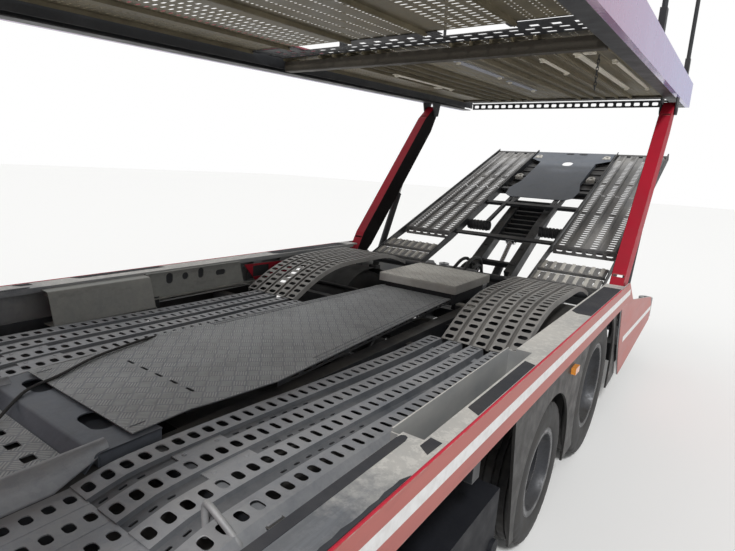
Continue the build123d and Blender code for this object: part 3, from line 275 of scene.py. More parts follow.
def striped_band():
    """Red side band with a reflecting white stripe, sun-bleached and scuffed along its edges."""
    s = Shade()
    place = s.axes(s.place)
    fade = s.ramp(s.noise(3.0, 8.0, 0.7, (1.0, 0.3, 1.0)), 0.35, 0.7)
    red = s.mix(fade, (0.36, 0.07, 0.058), (0.47, 0.135, 0.112))
    scuff = s.math("MULTIPLY", s.edges(0.005), s.ramp(s.noise(18.0), 0.4, 0.6))
    red = s.mix(scuff, red, (0.5, 0.42, 0.38))
    soot = s.ramp(s.noise(7.0, 8.0, 0.75, (1.0, 0.4, 2.0)), 0.52, 0.75, 0.0, 0.35)
    red = s.mix(soot, red, (0.16, 0.05, 0.045))
    centre, half, rail_end = 0.982, 0.0225, 2.3
    off = s.math("ABSOLUTE", s.math("SUBTRACT", place["Z"], centre))
    stripe = s.math("LESS_THAN", off, half)
    rail = s.math("LESS_THAN", place["Y"], rail_end)
    white = s.mix(s.ramp(s.noise(30.0), 0.4, 0.7), (0.8, 0.8, 0.8), (0.68, 0.67, 0.66))
    tone = s.mix(s.math("MULTIPLY", stripe, rail), red, white)
    # The stripe goes on, lower, along the sloping panel behind the drive wheels
    line = s.math("ADD", s.math("MULTIPLY", s.math("SUBTRACT", place["Y"], rail_end), -0.045), 0.6)
    off = s.math("ABSOLUTE", s.math("SUBTRACT", place["Z"], line))
    behind = s.math("GREATER_THAN", place["Y"], rail_end)
    tone = s.mix(s.math("MULTIPLY", s.math("LESS_THAN", off, half), behind), tone, white)
    # Behind the outer face the rail is zinc-coated, with pale bloom and flakes on its shelf, and with painted
    # shade in a dark bluish tone towards its front
    out = s.math("ABSOLUTE", place["X"])
    bare = s.math("LESS_THAN", out, HALF_WIDTH - SKIN)
    cloud = s.ramp(s.noise(3.2, 7.0, 0.6, (1.0, 0.45, 1.0)), 0.34, 0.66)
    zinc = s.mix(cloud, (0.24, 0.255, 0.275), (0.43, 0.43, 0.415))
    on_top = s.up(0.5, 0.9)
    zinc = s.mix(s.math("MULTIPLY", on_top, s.ramp(cloud, 0.0, 1.0, 0.35, 0.85)), zinc, (0.64, 0.62, 0.57))
    flake = s.math("MULTIPLY", s.ramp(s.noise(30.0, 9.0, 0.8), 0.5, 0.56), on_top)
    zinc = s.mix(s.math("MULTIPLY", flake, 0.55), zinc, (0.76, 0.74, 0.69))
    # Painted shade: towards the front the shelf is made a dark bluish tone, with a ragged edge
    reach = s.math("ADD", place["Y"], s.ramp(s.noise(2.5, 6.0, 0.7), 0.3, 0.7, -0.35, 0.35))
    painted_shade_front = s.ramp(reach, -1.25, -0.85, 0.8, 0.0)
    second_tone = s.mix(s.ramp(s.noise(26.0, 9.0, 0.75, (1.0, 0.07, 1.0)), 0.42, 0.6), (0.06, 0.074, 0.098),
                 (0.13, 0.15, 0.18))
    zinc = s.mix(painted_shade_front, zinc, second_tone)
    tone = s.mix(bare, tone, zinc)
    s.bump(s.noise(200.0), 0.0002, 0.4)
    return s.finish(tone, s.ramp(fade, 0.0, 1.0, 0.32, 0.5))


def tread_plate(dark, pale, cell=0.05, relief=0.0016):
    """Zinc-coated tread plate: groups of five raised bars, turned by a quarter in every other cell, with a
    painted highlight on the bars.
    """
    s = Shade()
    turn = s.node("ShaderNodeMapping", Rotation=(0.0, 0.0, radians(45)), Scale=(1 / cell, 1 / cell, 1.0))
    s.link(s.place, turn.inputs["Vector"])
    u, v, _ = s.axes(turn.outputs["Vector"])
    cells = s.math("ADD", s.math("FLOOR", u), s.math("FLOOR", v))
    turned = s.math("GREATER_THAN", s.math("FRACT", s.math("MULTIPLY", cells, 0.5)), 0.25)
    fu, fv = s.math("FRACT", u), s.math("FRACT", v)
    difference = s.math("MULTIPLY", s.math("SUBTRACT", fv, fu), turned)
    lengthwise = s.math("ADD", fu, difference)
    across = s.math("SUBTRACT", fv, difference)
    bar = s.math("ABSOLUTE", s.math("SUBTRACT", s.math("FRACT", s.math("MULTIPLY", across, 5.0)), 0.5))
    reach = s.math("ABSOLUTE", s.math("SUBTRACT", lengthwise, 0.5))
    raised = s.math("MULTIPLY", s.ramp(bar, 0.16, 0.4, 1.0, 0.0), s.ramp(reach, 0.34, 0.46, 1.0, 0.0))
    raised = s.math("MULTIPLY", raised, s.up(0.5, 0.8))
    patches = s.noise(2.6, 9.0, 0.72)
    tone = s.mix(s.ramp(patches, 0.35, 0.68), dark, pale)
    # Painted highlight: the raised bars on faces that look up are made paler than the plate
    tone = s.mix(s.math("MULTIPLY", raised, 0.75), tone, (pale[0] * 1.55, pale[1] * 1.52, pale[2] * 1.46))
    dirt = s.ramp(s.noise(7.0, 8.0, 0.75), 0.45, 0.75, 0.0, 0.5)
    tone = s.mix(dirt, tone, (dark[0] * 0.75, dark[1] * 0.7, dark[2] * 0.62))
    s.bump(raised, relief, 0.9)
    return s.finish(tone, s.ramp(patches, 0.3, 0.7, 0.42, 0.62), 0.35)


def lamp_by_place():
    """Lamp lenses: clear in front, amber along the sides and red at the tail."""
    s = Shade()
    ribs = s.node("ShaderNodeTexWave", Scale=60.0)
    s.link(s.place, ribs.inputs["Vector"])
    place = s.axes(s.place)
    shade = s.ramp(ribs.outputs["Fac"], 0.2, 0.8)
    clear = s.mix(shade, (0.62, 0.64, 0.66), (0.85, 0.86, 0.88))
    amber = s.mix(shade, (0.72, 0.22, 0.02), (0.9, 0.38, 0.06))
    red = s.mix(shade, (0.5, 0.01, 0.01), (0.75, 0.03, 0.02))
    tone = s.mix(s.math("GREATER_THAN", place["Y"], FRONT_LAMPS_END), clear, amber)
    tone = s.mix(s.math("GREATER_THAN", place["Y"], TAIL_LAMPS_START), tone, red)
    s.bump(ribs.outputs["Fac"], 0.0006, 0.5)
    s.set(Coat_Weight=0.8, Roughness=0.2)
    return s.finish(tone)


def arm_with_painted_shade_inside(red, dark, inner_x):
    """Painted lifting arm whose inner side, nearer the middle of the truck than inner_x, is made near-black
    with little gloss: painted shade on that side.
    """
    s = Shade()
    place = s.axes(s.place)
    inside = s.math("LESS_THAN", s.math("ABSOLUTE", place["X"]), inner_x)
    tone = s.mix(s.ramp(s.noise(1.8, 8.0), 0.4, 0.7), red, dark)
    tone = s.mix(s.math("MULTIPLY", s.edges(), s.ramp(s.noise(14.0), 0.42, 0.62)), tone, (0.3, 0.16, 0.14))
    grime = s.ramp(s.noise(5.0, 7.0, 0.7), 0.3, 0.7)
    # Painted shade: the inner side is made near-black, and the next line nearly takes away its gloss
    tone = s.mix(inside, tone, s.mix(grime, (0.008, 0.006, 0.007), (0.022, 0.018, 0.018)))
    s.link(s.ramp(inside, 0.0, 1.0, 0.25, 0.03), s.shader.inputs["Specular IOR Level"])
    s.bump(s.noise(90.0), 0.0002, 0.5)
    return s.finish(tone, s.ramp(grime, 0.0, 1.0, 0.42, 0.6))


def panel_paint():
    """Glossy red deck panels with a clear coat, and a lilac sheen: a painted reflection of a blue sky at a
    grazing angle.
    """
    s = Shade()
    # The lilac sheen tint is a painted reflection of a blue sky. The coat's gloss is real.
    s.set(Coat_Weight=1.0, Coat_Roughness=0.1, Coat_IOR=1.9, Sheen_Weight=0.7, Sheen_Roughness=0.35,
          Sheen_Tint=(0.5, 0.6, 1.0, 1.0))
    streaks = s.ramp(s.noise(0.8, 8.0, 0.68, (1.0, 1.0, 0.15)), 0.4, 0.7)
    tone = s.mix(streaks, (0.4, 0.016, 0.045), (0.34, 0.03, 0.065))
    return s.finish(tone, s.ramp(s.noise(3.2, 5.0, 0.6), 0.3, 0.7, 0.2, 0.34))


def clear_glass():
    s = Shade()
    s.set(Transmission_Weight=0.85, IOR=1.45, Roughness=0.03)
    tint = s.mix(s.ramp(s.noise(1.5), 0.3, 0.7), (0.34, 0.4, 0.4), (0.4, 0.46, 0.45))
    return s.finish(tint)


def rubber():
    s = Shade()
    dust = s.ramp(s.noise(9.0, 8.0, 0.7), 0.42, 0.7, 0.0, 0.55)
    tone = s.mix(dust, (0.018, 0.018, 0.019), (0.085, 0.078, 0.07))
    s.bump(s.noise(180.0), 0.0004, 0.5)
    return s.finish(tone, s.ramp(dust, 0.0, 0.5, 0.62, 0.88))


MAT = {
    "black": weathered((0.028, 0.03, 0.034), (0.06, 0.062, 0.066), rough=(0.38, 0.62),
                       edge=(0.16, 0.155, 0.15), dusty=0.42),
    "iron": weathered((0.035, 0.035, 0.036), (0.085, 0.078, 0.07), rough=(0.5, 0.8), metallic=0.2),
    "cab_red": weathered((0.46, 0.016, 0.018), (0.41, 0.02, 0.022), rough=(0.16, 0.26), relief=0.00005,
                         dusty=0.1, patch=1.2),
    "arm_red": weathered((0.37, 0.008, 0.026), (0.31, 0.014, 0.026), rough=(0.26, 0.42), relief=0.0002,
                         dusty=0.15, edge=(0.3, 0.16, 0.14), patch=1.8),
    "zinc": galvanised((0.26, 0.27, 0.285), (0.5, 0.5, 0.5), flakes=0.35),
    "zinc_dark": galvanised((0.16, 0.175, 0.2), (0.3, 0.315, 0.34), dusty=0.2),
    # Darker zinc in the channels between the ribs of tracks and humps: painted shade
    "zinc_channel_painted_shade": galvanised((0.105, 0.115, 0.13), (0.22, 0.225, 0.235), dusty=0.2, rough=(0.45, 0.7)),
    "hump_channel_painted_shade": galvanised((0.13, 0.125, 0.118), (0.24, 0.23, 0.215), dusty=0.2, rough=(0.45, 0.7)),
    # Zinc of the tracks: its own grey, with a slight blue cast that is painted skylight in shade
    "zinc_track_painted_sky_tint": galvanised((0.25, 0.265, 0.29), (0.46, 0.465, 0.475), dusty=0.3, rough=(0.34, 0.6),
                             metallic=0.3),
    "zinc_ramp": galvanised((0.2, 0.2, 0.205), (0.46, 0.45, 0.43), dusty=0.35, metallic=0.3),
    "zinc_pale": galvanised((0.55, 0.53, 0.48), (0.75, 0.72, 0.66), dusty=0.2, metallic=0.1),
    "cover_zinc": galvanised((0.24, 0.25, 0.24), (0.4, 0.4, 0.37), dusty=0.25, metallic=0.25),
    "tread_pale": tread_plate((0.42, 0.41, 0.385), (0.6, 0.59, 0.555)),
    "zinc_hump": galvanised((0.235, 0.23, 0.22), (0.42, 0.41, 0.39), dusty=0.25, metallic=0.2,
                            rough=(0.4, 0.65)),
    "tread": tread_plate((0.185, 0.2, 0.22), (0.34, 0.35, 0.36)),
    "plastic": weathered((0.016, 0.017, 0.018), (0.035, 0.036, 0.038), rough=(0.4, 0.65), dusty=0.3),
    "skirt": weathered((0.017, 0.016, 0.015), (0.036, 0.033, 0.03), rough=(0.38, 0.6), dusty=0.3,
                       stretch=(1.0, 1.0, 0.25), patch=3.0),
    "interior": weathered((0.055, 0.056, 0.06), (0.1, 0.1, 0.105), rough=(0.8, 0.95), grain=400.0,
                          relief=0.0008, dusty=0.0),
    "tank": weathered((0.5, 0.51, 0.52), (0.36, 0.36, 0.36), rough=(0.22, 0.42), metallic=0.75, dusty=0.3),
    "rim": weathered((0.048, 0.05, 0.056), (0.032, 0.03, 0.028), rough=(0.32, 0.6), metallic=0.4, patch=7.0,
                     dusty=0.2, edge=(0.34, 0.34, 0.34)),
    "chrome": weathered((0.72, 0.72, 0.73), (0.6, 0.6, 0.6), rough=(0.08, 0.2), metallic=1.0, dusty=0.05,
                        relief=0.00003),
    "blue_grey": galvanised((0.115, 0.13, 0.158), (0.19, 0.21, 0.24), dusty=0.25, metallic=0.25),
    "brown": galvanised((0.118, 0.1, 0.062), (0.25, 0.215, 0.14), dusty=0.2, metallic=0.2),
    "band": striped_band(),
    "glass": clear_glass(),
    "rubber": rubber(),
    "grip": weathered((0.03, 0.033, 0.042), (0.06, 0.064, 0.075), rough=(0.8, 0.95), grain=500.0,
                      relief=0.0012, dusty=0.2),
    "lamps": lamp_by_place(),
    # Rear arms with painted shade on their inner side
    "arm_shaded_inside": arm_with_painted_shade_inside((0.42, 0.006, 0.024), (0.33, 0.01, 0.024), ARM_INSIDE),
    "edge_red_painted_highlight": weathered((0.62, 0.02, 0.05), (0.5, 0.02, 0.04), rough=(0.3, 0.5), dusty=0.0),
    "beam_brown": weathered((0.055, 0.047, 0.034), (0.12, 0.105, 0.08), rough=(0.5, 0.75), dusty=0.2),
    "box_black": weathered((0.003, 0.004, 0.008), (0.006, 0.008, 0.014), rough=(0.6, 0.85), dusty=0.0),
    "bar_pale": galvanised((0.62, 0.58, 0.48), (0.85, 0.8, 0.68), dusty=0.1, metallic=0.0),
    "bar_blue": galvanised((0.3, 0.31, 0.36), (0.46, 0.47, 0.54), dusty=0.1, metallic=0.1),
    "panel_red_painted_sky_sheen": panel_paint(),
}

for key, material in MAT.items():
    material.name = key

NODE_MATERIAL = {
    "chassis_frame": "black", "engine": "iron", "side_rails": "band", "rear_side_panels": "band",
    "wheel_skirts": "skirt", "lower_tracks": "zinc_track_painted_sky_tint", "track_humps": "zinc_track_painted_sky_tint",
    "deck_covers": "zinc_dark", "walkway": "tread", "tail_frame": "black", "corner_rollers": "zinc",
    "fuel_tanks": "tank", "battery_box": "box_black", "axles": "iron", "cab_shell": "cab_red",
    "windscreen": "glass", "grille": "plastic", "front_bumper": "plastic", "lamps": "lamps",
    "cab_interior": "interior", "mast": "black", "head_deck": "black", "rear_arms": "arm_shaded_inside",
    "front_arms": "arm_red", "deck_frame": "black", "deck_planks": "brown", "deck_side_panels": "panel_red_painted_sky_sheen",
    "stanchions": "black", "deck_cylinder_barrels": "black", "deck_cylinder_rods": "chrome",
    "ramp_frame": "zinc_track_painted_sky_tint", "ramp_plate": "blue_grey", "lift_boom": "black",
    "ramp_cylinder_barrel": "black", "ramp_cylinder_rod": "chrome",
}
for side in ("left", "right"):
    for axle in ("front", "pusher", "drive"):
        NODE_MATERIAL[f"tyre_{axle}_{side}"] = "rubber"
        NODE_MATERIAL[f"rim_{axle}_{side}"] = "rim"
    NODE_MATERIAL[f"knuckle_{side}"] = "iron"
    NODE_MATERIAL[f"door_{side}"] = "cab_red"
    NODE_MATERIAL[f"door_glass_{side}"] = "glass"


def dress(piece, key):
    piece.data.materials.clear()
    piece.data.materials.append(MAT[key])


for name, key in NODE_MATERIAL.items():
    dress(nodes[name], key)


# Mesh helpers


class Sheet:
    """Collects points and faces, sharing the points that coincide."""

    def __init__(self):
        self.points, self.faces, self.index, self.paint = [], [], {}, []

    def point(self, p):
        key = (round(p[0], 5), round(p[1], 5), round(p[2], 5))
        if key not in self.index:
            self.index[key] = len(self.points)
            self.points.append(key)
        return self.index[key]

    def face(self, *corners, paint=0):
        ids = []
        for p in corners:
            i = self.point(p)
            if i not in ids:
                ids.append(i)
        if len(ids) > 2:
            self.faces.append(ids)
            self.paint.append(paint)

    def box(self, x, y, z, at=WORLD, paint=0):
        c = [at @ Vector((a, b, d)) for d in z for b in y for a in x]
        for f in ((0, 2, 3, 1), (4, 5, 7, 6), (0, 1, 5, 4), (2, 6, 7, 3), (0, 4, 6, 2), (1, 3, 7, 5)):
            self.face(*[c[i] for i in f], paint=paint)

    def boxes(self, rows, at=WORLD, paint=0, side=1):
        """Boxes from rows of two x, two y and two z; side -1 puts them on the truck's right."""
        for row in rows:
            self.box(across(side, *row[:2]), row[2:4], row[4:], at, paint)

    def bar(self, place, x, y, z, radius, sides=24):
        """A round bar along the X axis of place."""
        self.rod(place @ Vector((x[0], y, z)), place @ Vector((x[1], y, z)), radius, sides)

    def rod(self, start, end, radius, sides):
        a, b = Vector(start), Vector(end)
        turn = (b - a).to_track_quat("Z", "Y")
        rings = [[centre + turn @ Vector((x, y, 0)) for x, y in circle(radius, sides)] for centre in (a, b)]
        self.loft(rings)

    def turned(self, centre, axis, outline, sides, paint=0):
        """A solid of revolution from (distance along the axis, radius) points."""
        turn = Vector(axis).to_track_quat("Z", "Y")
        base = Vector(centre)
        rings = [[base + turn @ Vector((x, y, d)) for x, y in circle(r, sides)] for d, r in outline]
        self.skin(rings, paint)

    def skin(self, rings, paint=0):
        """Faces between rings that have the same number of points."""
        for a, b in zip(rings, rings[1:]):
            for k in range(len(a)):
                n = (k + 1) % len(a)
                self.face(a[k], a[n], b[n], b[k], paint=paint)

    def loft(self, rings, paint=0):
        """A skin that is closed at both ends."""
        self.skin(rings, paint)
        self.face(*reversed(rings[0]), paint=paint)
        self.face(*rings[-1], paint=paint)

    def prism(self, outline, ends, place=WORLD, paint=0):
        """A bar with the outline (a, b) between distances along the third axis of place."""
        self.loft([[place @ Vector((a, b, d)) for a, b in outline] for d in ends], paint)

    def pipe(self, points, radius, sides):
        """A round cord or bent bar through the points."""
        points = [Vector(p) for p in points]
        rings, across = [], None
        for k, point in enumerate(points):
            ahead = (points[min(k + 1, len(points) - 1)] - points[max(k - 1, 0)]).normalized()
            across = ahead.orthogonal() if across is None else across - ahead * across.dot(ahead)
            across.normalize()
            rise = ahead.cross(across)
            rings.append([point + (across * x + rise * y) * radius for x, y in circle(1, sides)])
        self.loft(rings)

    def plate(self, outline, holes, thick, place=WORLD, paint=0):
        """A flat plate in the XY plane of place, its top at 0, with holes given as rings of points."""
        curve = bpy.data.curves.new("outline", "CURVE")
        curve.dimensions, curve.fill_mode = "2D", "BOTH"
        curve.extrude = thick / 2
        for ring in [outline, *holes]:
            spline = curve.splines.new("POLY")
            spline.points.add(len(ring) - 1)
            for point, (x, y) in zip(spline.points, ring):
                point.co = (x, y, 0, 1)
            spline.use_cyclic_u = True
        drawn = bpy.data.objects.new("outline", curve)
        mesh = drawn.to_mesh()
        down = Vector((0, 0, -thick / 2))
        for polygon in mesh.polygons:
            self.face(*[place @ (mesh.vertices[i].co + down) for i in polygon.vertices], paint=paint)
        drawn.to_mesh_clear()
        bpy.data.objects.remove(drawn)
        bpy.data.curves.remove(curve)

    def make(self, name, *materials, thick=0.0, offset=-1.0, bevel=0.0, smooth=0.0):
        """A piece with these materials; smooth is the largest angle in degrees that is shaded as round."""
        mesh = bpy.data.meshes.new(name)
        mesh.from_pydata(self.points, [], self.faces)
        for key in materials:
            mesh.materials.append(MAT[key])
        mesh.polygons.foreach_set("material_index", self.paint)
        mesh.polygons.foreach_set("use_smooth", [smooth > 0] * len(self.faces))
        mesh.validate()
        mesh.update()
        if smooth:
            mesh.set_sharp_from_angle(angle=radians(smooth))
        piece = bpy.data.objects.new(name, mesh)
        bpy.context.scene.collection.objects.link(piece)
        if thick:
            solid = piece.modifiers.new("thickness", "SOLIDIFY")
            solid.thickness, solid.offset = thick, offset
        if bevel:
            soft = piece.modifiers.new("edges", "BEVEL")
            soft.width, soft.segments, soft.limit_method = bevel, 2, "ANGLE"
        return piece


def settle(piece, body, slot, *replaced):
    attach(piece, body)
    if replaced:
        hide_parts(*replaced)


def flexible(name, points, radius, material):
    """A cable or hose of that length that goes from the truck into the truck again, as one smooth curve."""
    curve = bpy.data.curves.new(name, "CURVE")
    curve.dimensions, curve.bevel_depth, curve.bevel_resolution = "3D", radius, 3
    line = curve.splines.new("NURBS")
    line.points.add(len(points) - 1)
    for knot, place in zip(line.points, points):
        knot.co = (*place, 1.0)
    line.order_u, line.use_endpoint_u, line.resolution_u = 3, True, 8
    curve.materials.append(MAT[material])
    piece = bpy.data.objects.new(name, curve)
    bpy.context.scene.collection.objects.link(piece)
    settle(piece, "chassis", "tyre_rubber")


def softened(line, rounds):
    """The line with its corners cut, keeping both ends."""
    for _ in range(rounds):
        cut = [line[0]]
        for a, b in zip(line, line[1:]):
            for t in (0.25, 0.75):
                cut.append(tuple(p + (q - p) * t for p, q in zip(a, b)))
        cut.append(line[-1])
        line = cut
    return line


class Path:
    """A side line (y, z) measured along its length."""

    def __init__(self, line, rounds):
        self.line = softened(list(line), rounds) if rounds else list(line)
        self.marks = [0.0]
        for a, b in zip(self.line, self.line[1:]):
            self.marks.append(self.marks[-1] + hypot(b[0] - a[0], b[1] - a[1]))
        self.length = self.marks[-1]

    def at(self, s, rise):
        """The point at a distance s along the line and a height above it."""
        s = min(max(s, 0.0), self.length)
        k = 1
        while self.marks[k] < s and k < len(self.marks) - 1:
            k += 1
        a, b = self.line[k - 1], self.line[k]
        span = self.marks[k] - self.marks[k - 1]
        t = (s - self.marks[k - 1]) / span
        dy, dz = (b[0] - a[0]) / span, (b[1] - a[1]) / span
        return a[0] + (b[0] - a[0]) * t - dz * rise, a[1] + (b[1] - a[1]) * t + dy * rise


def slot_ring(cx, cy, w, h, corner, steps):
    """Rounded rectangle about (cx, cy), counter-clockwise, steps + 1 points per corner."""
    ring = []
    for qx, qy, start in ((1, 1, 0), (-1, 1, 90), (-1, -1, 180), (1, -1, 270)):
        for k in range(steps + 1):
            a = radians(start + 90 * k / steps)
            ring.append((cx + qx * (w / 2 - corner) + corner * cos(a),
                         cy + qy * (h / 2 - corner) + corner * sin(a)))
    return ring


def holed_cell(sheet, put, x, s, hole, steps=3, dish=0.0, paint=0):
    """A rectangle of sheet with a rounded hole (width, height, corner); dish sinks the hole's rim."""
    cx, cy = (x[0] + x[1]) / 2, (s[0] + s[1]) / 2
    w, h, corner = hole
    rings = [slot_ring(cx, cy, w, h, corner, steps)]
    if dish:
        rings.insert(0, slot_ring(cx, cy, w + 2.2 * dish, h + 2.2 * dish, corner + 1.1 * dish, steps))
    corners = ((x[1], s[1]), (x[0], s[1]), (x[0], s[0]), (x[1], s[0]))
    outer = rings[0]
    n = steps + 1
    for q in range(4):
        for k in range(steps):
            a, b = outer[q * n + k], outer[q * n + k + 1]
            sheet.face(put(*corners[q], 0), put(*b, 0), put(*a, 0), paint=paint)
        a, b = outer[q * n + steps], outer[((q + 1) % 4) * n]
        c = (q + 1) % 4
        sheet.face(put(*corners[q], 0), put(*corners[c], 0), put(*b, 0), put(*a, 0), paint=paint)
    if dish:
        for k in range(4 * n):
            m = (k + 1) % (4 * n)
            a, b = outer[k], outer[m]
            c, d = rings[1][k], rings[1][m]
            sheet.face(put(*a, 0), put(*b, 0), put(*d, -0.6 * dish), put(*c, -0.6 * dish), paint=paint)


def flared(x, s, outer, flare):
    """The x of a point of a track that widens inwards by a share of its width towards its start."""
    return outer - (outer - x) * (1 + flare * max(0.0, 1 - s / FLARE_LENGTH))


def ribbed_track(sheet, path, x0, width, count, slot, pitch, place=WORLD, rib=0.6, depth=0.02, depth_end=None,
                 valley=None, steps=3, dish=0.0, edge_drop=0.03, nose=None, side=1, flare=0.0, shade=0):
    """Pressed track of count raised ribs with slots across them, and channels between the ribs.

    slot is (across, along, corner) and nose (how many, slot) is for the first ones. valley (spans, slot) puts
    small slots in the channels within those spans. flare widens the start inwards by a share of the width.
    shade is the material index of the channels, whose darker material is painted shade."""
    rows = max(1, int(path.length / pitch))
    step = path.length / rows
    depth_end = depth if depth_end is None else depth_end
    rib_pitch = width / count
    top = rib_pitch * rib
    slope = min(0.005, (rib_pitch - top) * 0.25)
    outer = x0 + width
    starts = [x0 + k * rib_pitch + (rib_pitch - top) / 2 for k in range(count)]
    ribs = [(start, start + top) for start in starts]

    def put(x, s, rise):
        y, z = path.at(s, rise)
        return place @ Vector((side * flared(x, s, outer, flare), y, z))

    for j in range(rows):
        s = (j * step, (j + 1) * step)
        falls = [depth + (depth_end - depth) * min(1.0, max(0.0, (v - 0.9) / 0.5)) for v in s]
        flat, edge = (0, 0), (edge_drop, edge_drop)

        def strip(a, b, fall_a, fall_b, paint=0):
            sheet.face(put(a, s[0], -fall_a[0]), put(b, s[0], -fall_b[0]), put(b, s[1], -fall_b[1]),
                       put(a, s[1], -fall_a[1]), paint=paint)

        for x in ribs:
            holed_cell(sheet, put, x, s, nose[1] if nose and j < nose[0] else slot, steps, dish)
        strip(x0 + 0.004, ribs[0][0], edge, flat)
        for (_, a), (b, _) in zip(ribs, ribs[1:]):
            strip(a, a + slope, flat, falls, shade)
            strip(b - slope, b, falls, flat, shade)
            if valley and any(low <= s[0] < high for low, high in valley[0]):
                sunk = (falls[0] + falls[1]) / 2

                def low_put(x, t, rise):
                    return put(x, t, rise - sunk)

                holed_cell(sheet, low_put, (a + slope, b - slope), s, valley[1], 2, 0.0, paint=shade)
            else:
                strip(a + slope, b - slope, falls, falls, shade)
        strip(ribs[-1][1], outer - 0.004, flat, edge)


# Lower deck tracks

track_path = Path(((-1.4, 0.866), (-1.23, 0.904), (-0.15, 0.87), (0.56, 0.862)), 3)
front_path = Path(((-3.11, 0.862), (-1.398, 0.862)), 0)
for side, name in SIDES:
    tracks = Sheet()
    ribbed_track(tracks, track_path, 0.47, 0.498, 4, (0.046, 0.02, 0.0098), 0.0552, rib=0.62, depth=0.012,
                 depth_end=0.036, valley=(((0.0, 0.16), (0.38, 0.82)), (0.009, 0.026, 0.0042)), dish=0.0022,
                 nose=(9, (0.04, 0.029, 0.011)), side=side, flare=0.165, shade=1)
    ribbed_track(tracks, front_path, 0.414, 0.54, 5, (0.04, 0.029, 0.011), 0.0525, rib=0.95, depth=0.002,
                 steps=2, side=side)
    for y, z, inner in ((-1.15, 0.903, 0.405), (-0.45, 0.88, 0.44), (0.42, 0.864, 0.476),
                        (-3.08, 0.862, 0.424), (-2.05, 0.862, 0.424)):
        tracks.box(across(side, inner, 0.962), (y - 0.025, y + 0.025), (z - 0.03, z - 0.0265))
    settle(tracks.make(f"lower_track_pressed_{name}", "zinc_track_painted_sky_tint", "zinc_channel_painted_shade", thick=0.0035,
                       offset=-side), "chassis", "galvanised", "lower_tracks")

# Rivetted plates in the channels of the nose, and the folded covers of the chassis rails
fittings = Sheet()
for side in (1, -1):
    for x in (0.5945, 0.719):
        rows = []
        for s in (0.25, 0.43):
            y, z = track_path.at(s, -0.0105)
            spots = [side * flared(x + reach, s, 0.968, 0.165) for reach in (-0.02, 0.02)]
            rows.append([(spots[0], y, z), (spots[1], y, z), (spots[1], y, z + 0.0035),
                         (spots[0], y, z + 0.0035)])
        fittings.loft(rows)
        for s in (0.28, 0.4):
            y, z = track_path.at(s, -0.007)
            fittings.turned((side * flared(x, s, 0.968, 0.165), y, z), (0, 0, 1),
                            ((-0.001, 0.009), (0.002, 0.0075), (0.0038, 0.0)), 12)
    wide = softened(((0.3, 0.867), (0.312, 0.9), (0.332, 0.928), (0.356, 0.932), (0.392, 0.9),
                     (0.41, 0.864)), 2)
    narrow = softened(((0.314, 0.908), (0.322, 0.916), (0.336, 0.93), (0.352, 0.93), (0.366, 0.92),
                       (0.372, 0.908)), 2)
    rings = []
    for ring, y in ((wide, -3.11), (wide, -1.44), (narrow, -1.262)):
        under = [(x, z - 0.004) for x, z in reversed(ring)]
        rings.append([(side * x, y, z) for x, z in ring + under])
    fittings.loft(rings)
settle(fittings.make("track_fittings", "zinc_track_painted_sky_tint", smooth=40), "chassis", "galvanised", "lower_tracks")

# Plate between the front tracks, with square holes along its rear edge and small slots along its sides
centre = Sheet()
holes = [slot_ring(x, -1.415, 0.042, 0.04, 0.006, 2) for x in (-0.243, -0.133, -0.023, 0.087, 0.197)]
holes += [slot_ring(x, y, 0.02, 0.012, 0.005, 2) for x in (-0.26, 0.26) for y in (-1.55, -1.95, -2.35, -2.75)]
centre.plate(oblong(-0.3, 0.3, -3.11, -1.345), holes, 0.005, moved(0, 0, 0.872))
settle(centre.make("centre_tread_plate", "tread"), "chassis", "galvanised", "lower_tracks")

hump_path = Path(((0.548, 0.868), (0.77, 0.987), (0.98, 1.05), (1.18, 1.068), (1.5, 1.068), (1.76, 1.068),
                  (2.04, 0.975)), 3)
for side, name in SIDES:
    humps = Sheet()
    ribbed_track(humps, hump_path, 0.56, 0.476, 5, (0.054, 0.029, 0.0135), 0.058, rib=0.76, depth=0.012,
                 dish=0.0022, side=side, shade=1)
    settle(humps.make(f"track_hump_pressed_{name}", "zinc_hump", "hump_channel_painted_shade", thick=0.004, offset=-side),
           "chassis", "galvanised", "track_humps")

# Walkway: tread plate with slots, turned down at its sides, on stools
TOP = 0.92
walk = Sheet()
front = ((0.365, -1.185), (0.358, -0.96), (0.374, -0.89), (0.412, -0.59), (0.292, 1.23))
outline = list(front) + [(-x, y) for x, y in reversed(front)]
holes = [slot_ring(x, -0.869, 0.05, 0.012, 0.005, 2) for x in (-0.175, -0.074, 0.025, 0.124, 0.225)]
holes += [slot_ring(side * 0.324, -1.142, 0.007, 0.058, 0.003, 2) for side in (1, -1)]
walk.plate(outline, holes, 0.004, moved(0, 0, TOP))
for side in (1, -1):
    (x0, y0), (x1, y1) = front[3], front[4]
    along = Vector((side * (x1 - x0), y1 - y0, 0))
    slots = [slot_ring(0.11 + 0.0875 * k, -0.0125, 0.06, 0.009, 0.004, 2) for k in range(20)]
    turn = moved(side * x0, y0, TOP) @ Matrix.Rotation(atan2(along.y, along.x), 4, "Z")
    turn = turn @ spun(90, "X") @ moved(0, 0, 0.0 if side > 0 else 0.003)
    walk.plate(oblong(0, along.length, -0.026, -0.002), slots, 0.003, turn, 1)
    # Raised hems along the edge
    for shift in (0.03, 0.056):
        a, b = (side * (0.404 - shift), -0.3, TOP), (side * (0.292 - shift + 0.008), 1.215, TOP)
        walk.pipe((a, b), 0.0035, 6)
for y in (-0.9, 0.0, 0.93):
    walk.box((-0.28, 0.28), (y - 0.03, y + 0.03), (0.862, TOP - 0.0045), paint=1)
settle(walk.make("walkway_tread_plate", "tread", "black"), "chassis", "galvanised", "walkway")

